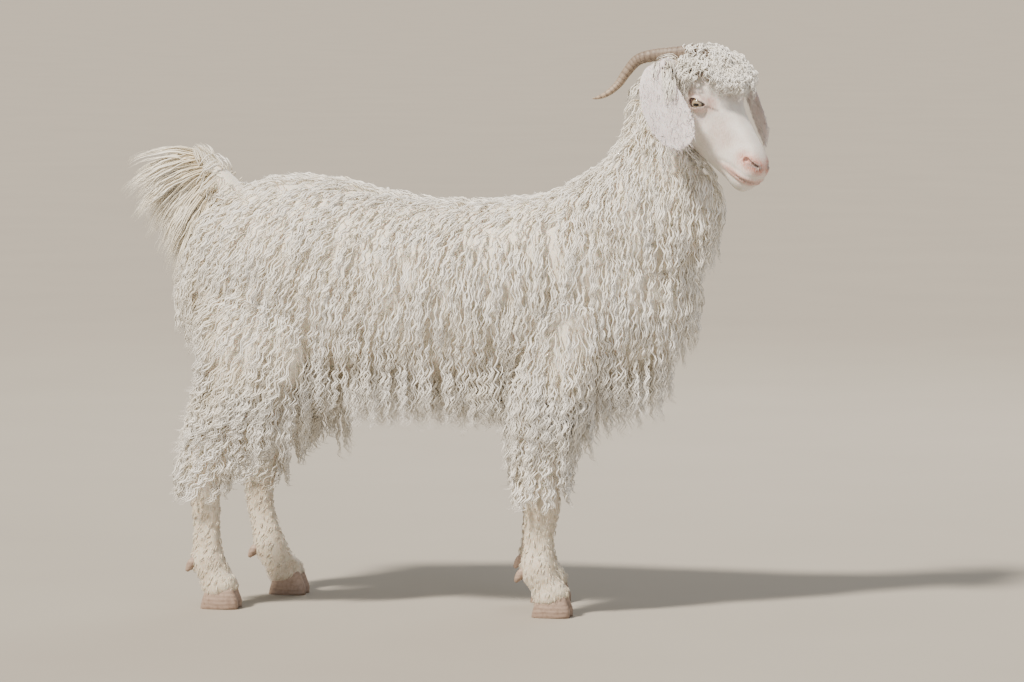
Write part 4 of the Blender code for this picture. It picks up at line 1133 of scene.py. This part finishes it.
def make_eye(hand, material):
    """An eyeball with its cornea. Its own z axis is the line of sight, and x runs along the pupil."""
    side = "left" if hand > 0 else "right"
    ahead, aside, up = EYE_SIGHT
    sight = (HEAD.to_3x3() @ Vector((ahead, hand * aside, up))).normalized()
    level = UP.cross(sight).normalized()
    rise = sight.cross(level)
    polar = np.linspace(0.01, math.pi - 0.01, 40)
    radius = EYE_RADIUS - EYE_GAP + CORNEA_HEIGHT * np.exp(-(polar / 0.52) ** 4)
    turn = 2 * math.pi * np.arange(EYE_SIDES) / EYE_SIDES
    rings = np.stack([
        (radius * np.sin(polar))[:, None] * np.cos(turn),
        (radius * np.sin(polar))[:, None] * np.sin(turn),
        np.repeat((radius * np.cos(polar))[:, None], EYE_SIDES, axis=1),
    ], axis=-1) * MM
    made = new_object(f"eyeball_{side}", loft(rings), moved=False)
    centre = Vector(at_head((EYE_PLACE[0], hand * EYE_PLACE[1], EYE_PLACE[2])) + SHIFT)
    placing = Matrix((level, rise, sight)).transposed().to_4x4()
    made.matrix_world = Matrix.Translation(centre) @ placing
    made.data.materials.append(material)
    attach(made, "root")
    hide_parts(f"eye_{side}")


def make_horn(hand, material):
    """A ringed horn that sweeps back, out and down and lifts again at its tip."""
    side = "left" if hand > 0 else "right"
    rows = curve_through(HORN, 14)
    gaps = np.linalg.norm(np.diff(rows[:, :3], axis=0), axis=1)
    along = np.concatenate([[0], np.cumsum(gaps)])
    share = along / along[-1]
    rings = 0.5 + 0.5 * np.sin(2 * math.pi * (along + 2.0 * np.sin(along * 0.13)) / HORN_RING)
    ripple = 1.0 + HORN_SWELL * (rings ** 2 - 0.4) * (1 - smoothly(share, 0.45, 0.95))
    rows[:, 3:] *= ripple[:, None]
    made = new_object(f"ringed_horn_{side}", head_tube(rows, hand, HORN_SIDES, 1))
    for name, values in (("along", share), ("ring", rings)):
        per_point = np.concatenate([np.repeat(values, HORN_SIDES), [values[0], values[-1]]])
        set_attribute(made.data, name, per_point)
    made.data.materials.append(material)
    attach(made, "root")
    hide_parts(f"horn_{side}")


def make_hooves(leg, material):
    """Two claws and two dewclaws, as fine versions of the solids."""
    rows = leg_rows(leg)
    x, y = rows[-1][:2]
    fetlock = rows[-4]
    for sign in (-1, 1):
        side = "outer" if (sign > 0) == leg.left else "inner"
        out = y + sign * CLAW_APART
        claw = [
            (x + 0.003, out, 0.0, 0.0110, 0.034, 0.027),
            (x + 0.002, out, 0.008, 0.0115, 0.032, 0.028),
            (x + 0.001, out, HOOF_HEIGHT * 0.6, 0.0110, 0.028, 0.026),
            (x, out, HOOF_HEIGHT, 0.0095, 0.022, 0.022),
            (x - 0.002, out, HOOF_HEIGHT + 0.006, 0.0060, 0.014, 0.014),
        ]
        points, triangles = loft(oval_rings(claw, 28, 6))
        points[:, 2] = np.maximum(points[:, 2], 0)
        points[:28, 2] = 0
        back, high = fetlock[0] - fetlock[5] + 0.006, fetlock[2] - 0.006
        wide = fetlock[1] + sign * DEWCLAW_APART
        dewclaw = [
            (back + 0.004, wide, high + 0.008, 0.0050, 0.0055, 0.0055),
            (back - 0.004, wide, high + 0.001, 0.0060, 0.0065, 0.0065),
            (back - 0.009, wide, high - 0.007, 0.0050, 0.0050, 0.0050),
            (back - 0.012, wide, high - 0.012, 0.0025, 0.0025, 0.0025),
        ]
        for name, shape in (("claw", (points, triangles)), ("dewclaw", loft(oval_rings(dewclaw, 18, 5)))):
            made = new_object(f"fine_{name}_{leg.foot}_{side}", shape)
            made.data.materials.append(material)
            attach(made, "root")
            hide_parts(f"{name}_{leg.foot}_{side}")


# Materials

def colour(code):
    """An sRGB hex colour, turned to linear."""
    parts = [int(code[k:k + 2], 16) / 255 for k in (0, 2, 4)]
    return (*[p / 12.92 if p <= 0.04045 else ((p + 0.055) / 1.055) ** 2.4 for p in parts], 1)


def new_material(name):
    material = bpy.data.materials.new(name)
    material.use_nodes = True
    material.node_tree.nodes.remove(material.node_tree.nodes["Principled BSDF"])
    return material


def add(material, kind, sockets=None, **settings):
    """Adds a node. Settings are its own properties; sockets take a value, or another node's output."""
    made = material.node_tree.nodes.new("ShaderNode" + kind)
    for name, value in settings.items():
        setattr(made, name, value)
    for name, value in (sockets or {}).items():
        if isinstance(value, bpy.types.NodeSocket):
            material.node_tree.links.new(value, made.inputs[name])
        else:
            made.inputs[name].default_value = value
    return made


# A Mix node has its sockets for colours at these places
FACTOR, A, B, RESULT = 0, 6, 7, 2


def mixed(material, factor, first, second):
    sockets = {FACTOR: factor, A: first, B: second}
    return add(material, "Mix", sockets, data_type="RGBA").outputs[RESULT]


def value_of(material, name):
    return add(material, "Attribute", attribute_name=name).outputs["Fac"]


def ranged(material, value, start, end, low=0.0, high=1.0, smooth=False):
    """A value spread from one range over another, and held inside it."""
    sockets = {"Value": value, "From Min": start, "From Max": end, "To Min": low, "To Max": high}
    kind = "SMOOTHSTEP" if smooth else "LINEAR"
    return add(material, "MapRange", sockets, interpolation_type=kind).outputs["Result"]


def reckoned(material, operation, *values):
    """One step of arithmetic on values."""
    return add(material, "Math", dict(enumerate(values)), operation=operation).outputs["Value"]


def grain(material, millimetres, stretch=(1, 1, 1), detail=2.0):
    """Noise whose grains are about this many millimetres long on each axis, times the stretch."""
    place = add(material, "TexCoord").outputs["Object"]
    scale = tuple(1 / s for s in stretch)
    place = add(material, "Mapping", {"Vector": place, "Scale": scale}).outputs["Vector"]
    sockets = {"Vector": place, "Scale": 1000 / millimetres, "Detail": detail}
    return add(material, "TexNoise", sockets).outputs["Fac"]


def relief(material, height, strength, millimetres):
    """The direction of a surface with fine relief on it, this many millimetres high."""
    sockets = {"Height": height, "Strength": strength, "Distance": millimetres * MM}
    return add(material, "Bump", sockets).outputs["Normal"]


def finished(material, sockets):
    """Links one Principled shader to the material's output."""
    shader = add(material, "BsdfPrincipled", sockets)
    output = material.node_tree.nodes["Material Output"]
    material.node_tree.links.new(shader.outputs["BSDF"], output.inputs["Surface"])
    return material


def mohair_material():
    """Washed mohair: a lustrous near-white fibre, a little creamier near its root and in patches."""
    made = new_material("mohair_fleece")
    depth = ranged(made, value_of(made, "along"), 0.0, 0.35, smooth=True)
    base = mixed(made, depth, colour("e8dec9"), colour("fbf8f1"))
    warm = ranged(made, grain(made, 70), 0.45, 0.72, high=0.35)
    base = mixed(made, warm, base, colour("efe3c8"))
    own = ranged(made, value_of(made, "tone"), 0.0, 1.0, high=0.30)
    base = mixed(made, own, base, colour("e9e0d0"))
    normal = relief(made, grain(made, 0.9, (1, 1, 9)), 0.35, 0.6)
    return finished(made, {
        "Base Color": base, "Normal": normal, "Roughness": 0.48,
        "Sheen Weight": 0.25, "Sheen Roughness": 0.4, "Specular IOR Level": 0.45, "IOR": 1.55,
    })


def tail_material():
    """Coarser hair of the tail: straighter than the fleece and a warmer cream."""
    made = new_material("tail_mohair")
    depth = ranged(made, value_of(made, "along"), 0.0, 0.6, smooth=True)
    base = mixed(made, depth, colour("e8dabb"), colour("faf4e6"))
    own = ranged(made, value_of(made, "tone"), 0.0, 1.0, high=0.45)
    base = mixed(made, own, base, colour("e6d7b6"))
    return finished(made, {"Base Color": base, "Roughness": 0.45, "Sheen Weight": 0.2, "IOR": 1.55})


def flat_hair_material(name, pale, dull, spread):
    """Short hair that lies flat, with each tuft a little duller than the next, up to the spread."""
    made = new_material(name)
    own = ranged(made, value_of(made, "tone"), 0.0, 1.0, high=spread)
    base = mixed(made, own, colour(pale), colour(dull))
    return finished(made, {"Base Color": base, "Roughness": 0.6, "Sheen Weight": 0.15})


def skin_material():
    """Pink skin under short white hair: hair takes most of the colour, and skin shows at eyes and nose."""
    made = new_material("skin_with_short_hair")
    patches = ranged(made, grain(made, 22), 0.35, 0.70)
    hair = mixed(made, patches, colour("e4ddd4"), colour("d1c5ba"))
    lilac = mixed(made, patches, colour("ddd3d3"), colour("cbbdbd"))
    dusty = mixed(made, patches, colour("cfc1a8"), colour("b3a080"))
    base = mixed(made, value_of(made, "ear"), hair, lilac)
    base = mixed(made, value_of(made, "rosy"), base, colour("bb6f55"))
    base = mixed(made, value_of(made, "bare_leg"), base, dusty)
    base = mixed(made, value_of(made, "fleeced"), base, colour("eae0cd"))
    # Dark brown: painted shade in the lids' opening, the mouth's line and the nostrils, and the damp tear
    # line
    base = mixed(made, value_of(made, "dark"), base, colour("5a3a2e"))
    # Hairs are 0.1 mm wide and too fine to show, so the streaks are drawn about 1 mm wide
    streaks = grain(made, 1.0, (1, 1, 6), 3.0)
    base = mixed(made, ranged(made, streaks, 0.35, 0.65, high=0.38), base, colour("fbf8f2"))
    normal = relief(made, streaks, 0.6, 1.1)
    return finished(made, {
        "Base Color": base, "Normal": normal, "Roughness": 0.58,
        "Sheen Weight": 0.3, "Sheen Roughness": 0.35, "Subsurface Weight": 0.08, "Subsurface Scale": 0.004,
    })


def horn_material():
    """Keratin horn: grey-brown, paler towards the tip, with painted shade darkening the grooves between
    rings.
    """
    made = new_material("ringed_keratin_horn")
    tip = ranged(made, value_of(made, "along"), 0.55, 1.0)
    base = mixed(made, tip, colour("7b6b5c"), colour("a8937b"))
    # Painted shade: the grooves between the rings are darkened towards deep brown
    painted_groove_shade = ranged(made, value_of(made, "ring"), 0.0, 0.45, low=0.6, high=0.0)
    base = mixed(made, painted_groove_shade, base, colour("4c382b"))
    streak = ranged(made, grain(made, 3.0, (6, 1, 1)), 0.5, 0.75, high=0.5)
    base = mixed(made, streak, base, colour("9c8a77"))
    normal = relief(made, grain(made, 0.8, (5, 1, 1), 3.0), 0.45, 0.8)
    return finished(made, {"Base Color": base, "Roughness": 0.5, "Normal": normal, "IOR": 1.55})


def hoof_material():
    """Keratin hoof: pinkish tan, stained in places, with growth lines level with the coronet."""
    made = new_material("worn_keratin_hoof")
    place = add(made, "TexCoord").outputs["Object"]
    height = add(made, "SeparateXYZ", {"Vector": place}).outputs["Z"]
    base = mixed(made, ranged(made, height, 0.0, 0.026), colour("8f7969"), colour("a68f7e"))
    stains = ranged(made, grain(made, 6), 0.45, 0.70, high=0.6)
    base = mixed(made, stains, base, colour("786150"))
    # Growth lines are about 3 mm apart
    waves = {"Vector": place, "Scale": 1000 / 3.2 / 6.283, "Distortion": 1.5, "Detail": 1.0}
    lines = add(made, "TexWave", waves, bands_direction="Z").outputs["Fac"]
    normal = relief(made, lines, 0.4, 0.6)
    return finished(made, {"Base Color": base, "Roughness": 0.55, "Normal": normal, "IOR": 1.55})


# Half the length and half the height of the pupil, in metres
PUPIL = {"X": 0.0046, "Y": 0.0022}


def eye_material():
    """A wet eye: pale amber iris with a level slot of a pupil, a dark rim, and a clear coat that gleams."""
    made = new_material("wet_amber_eye")
    place = add(made, "TexCoord").outputs["Object"]
    axes = add(made, "SeparateXYZ", {"Vector": place}).outputs
    square = reckoned(made, "MULTIPLY", axes["X"], axes["X"])
    square = reckoned(made, "MULTIPLY_ADD", axes["Y"], axes["Y"], square)
    radius = reckoned(made, "POWER", square, 0.5)
    fibres = ranged(made, grain(made, 1.2), 0.35, 0.65)
    base = mixed(made, fibres, colour("a8967c"), colour("857660"))
    rim = ranged(made, radius, 0.0066, 0.0090, smooth=True)
    base = mixed(made, rim, base, colour("3a271c"))
    white = ranged(made, radius, 0.0100, 0.0112, smooth=True)
    base = mixed(made, white, base, colour("8c6f60"))
    shares = []
    for axis, half in PUPIL.items():
        share = reckoned(made, "ABSOLUTE", reckoned(made, "DIVIDE", axes[axis], half))
        shares.append(reckoned(made, "POWER", share, 4.0))
    slot = ranged(made, reckoned(made, "ADD", *shares), 0.7, 1.3, low=1.0, high=0.0)
    base = mixed(made, slot, base, colour("0b0807"))
    return finished(made, {
        "Base Color": base, "Roughness": 0.25, "Coat Weight": 1.0, "Coat Roughness": 0.03, "IOR": 1.38,
    })


# Camera, floor and light

CAMERA_TURN = math.radians(12)
CAMERA_RISE = math.radians(5)
CAMERA_FAR = 8.0
AIM = Vector((0.0889 * math.cos(CAMERA_TURN), 0.0889 * math.sin(CAMERA_TURN), 0.418))


# How far the floor reaches each way, far past the edge of any view
FLOOR_REACH = 60


def make_camera():
    """A long lens, a little ahead of the goat's right side and a little above its back."""
    camera = bpy.data.objects.new("camera", bpy.data.cameras.new("camera"))
    bpy.context.scene.collection.objects.link(camera)
    camera.data.sensor_width = 36
    camera.data.lens = 180
    back = Vector((
        math.sin(CAMERA_TURN) * math.cos(CAMERA_RISE),
        -math.cos(CAMERA_TURN) * math.cos(CAMERA_RISE),
        math.sin(CAMERA_RISE),
    ))
    camera.location = AIM + Vector(SHIFT) + back * CAMERA_FAR
    camera.rotation_mode = "QUATERNION"
    camera.rotation_quaternion = (-back).to_track_quat("-Z", "Y")
    camera.data.clip_end = 100
    bpy.context.scene.camera = camera


def make_floor():
    """A plain pale floor, with a soft mottle so that it doesn't read as a void."""
    corners = np.array([(-1, -1, 0), (1, -1, 0), (1, 1, 0), (-1, 1, 0)], float) * FLOOR_REACH
    floor = new_object("floor", (corners, np.array([(0, 1, 2), (0, 2, 3)])), moved=False)
    made = new_material("pale_studio_floor")
    mottle = ranged(made, grain(made, 400), 0.0, 1.0, low=0.2, high=0.8)
    base = mixed(made, mottle, colour("a29b8f"), colour("979085"))
    finished(made, {"Base Color": base, "Roughness": 0.9})
    floor.data.materials.append(made)


def make_light(name, place, size, power, tint):
    """A square soft light that looks at the goat."""
    light = bpy.data.objects.new(name, bpy.data.lights.new(name, "AREA"))
    bpy.context.scene.collection.objects.link(light)
    light.data.size = size
    light.data.energy = power
    light.data.color = colour(tint)[:3]
    light.location = place
    way = Vector((0, 0, 0.45)) - Vector(place)
    light.rotation_mode = "QUATERNION"
    light.rotation_quaternion = way.to_track_quat("-Z", "Y")


def make_sun(name, way, strength, tint, width):
    """A far soft light: its shadows have edges this many degrees wide."""
    light = bpy.data.objects.new(name, bpy.data.lights.new(name, "SUN"))
    bpy.context.scene.collection.objects.link(light)
    light.data.energy = strength
    light.data.color = colour(tint)[:3]
    light.data.angle = math.radians(width)
    light.rotation_mode = "QUATERNION"
    light.rotation_quaternion = (-Vector(way)).to_track_quat("-Z", "Y")


def make_lights():
    """A high key from the camera's left, a weak fill from the head's side and a pale surround."""
    make_sun("key", (-0.45, -0.66, 0.98), 7.6, "fff6ea", 7)
    make_light("fill", (3.2, -3.4, 1.6), 2.6, 45, "eef2ff")
    make_light("rim", (0.4, 3.4, 2.8), 2.0, 60, "ffffff")
    world = bpy.data.worlds.new("studio")
    bpy.context.scene.world = world
    world.use_nodes = True
    world.node_tree.nodes["Background"].inputs["Color"].default_value = colour("cfcdc9")
    world.node_tree.nodes["Background"].inputs["Strength"].default_value = 0.72


def main():
    draw = np.random.default_rng(SEED)
    body = body_skin()
    body_surface = surface_of(body.data)
    head = head_skin()
    head_surface = surface_of(head.data)
    mohair = mohair_material()
    # Shins are off-white and a little dusty; ears and jaw are white, with a lilac cast from the skin below
    dusty = flat_hair_material("short_guard_hair", "e6ddcb", "c9b99c", 0.7)
    lilac = flat_hair_material("fine_ear_hair", "efe8e4", "dcd0cf", 0.8)
    fleece(body, body_surface, draw, mohair)
    leg_hair(body, body_surface, draw, dusty)
    tail_hair(draw, tail_material())
    forelock(head_surface, draw, mohair)
    wisps(head_surface, draw, mohair)
    temple_locks(head_surface, draw, mohair)
    ear_hair(head, head_surface, draw, lilac)
    with_modifier(body, "BOOLEAN", operation="UNION", solver="MANIFOLD", object=head)
    bpy.data.objects.remove(head)
    mark_skin(body.data)
    set_points(body.data, points_of(body.data) + SHIFT)
    body.data.shade_smooth()
    body.data.materials.clear()
    body.data.materials.append(skin_material())
    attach(body, "root")
    legs = [f"{end}leg_{side}" for end in ("fore", "hind") for side in ("right", "left")]
    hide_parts("torso", "neck", "head", "tail", "ear_right", "ear_left", *legs)
    eye, horn, hoof = eye_material(), horn_material(), hoof_material()
    for hand in (-1, 1):
        make_eye(hand, eye)
        make_horn(hand, horn)
    for leg in LEGS:
        make_hooves(leg, hoof)
    make_camera()
    make_floor()
    make_lights()


main()
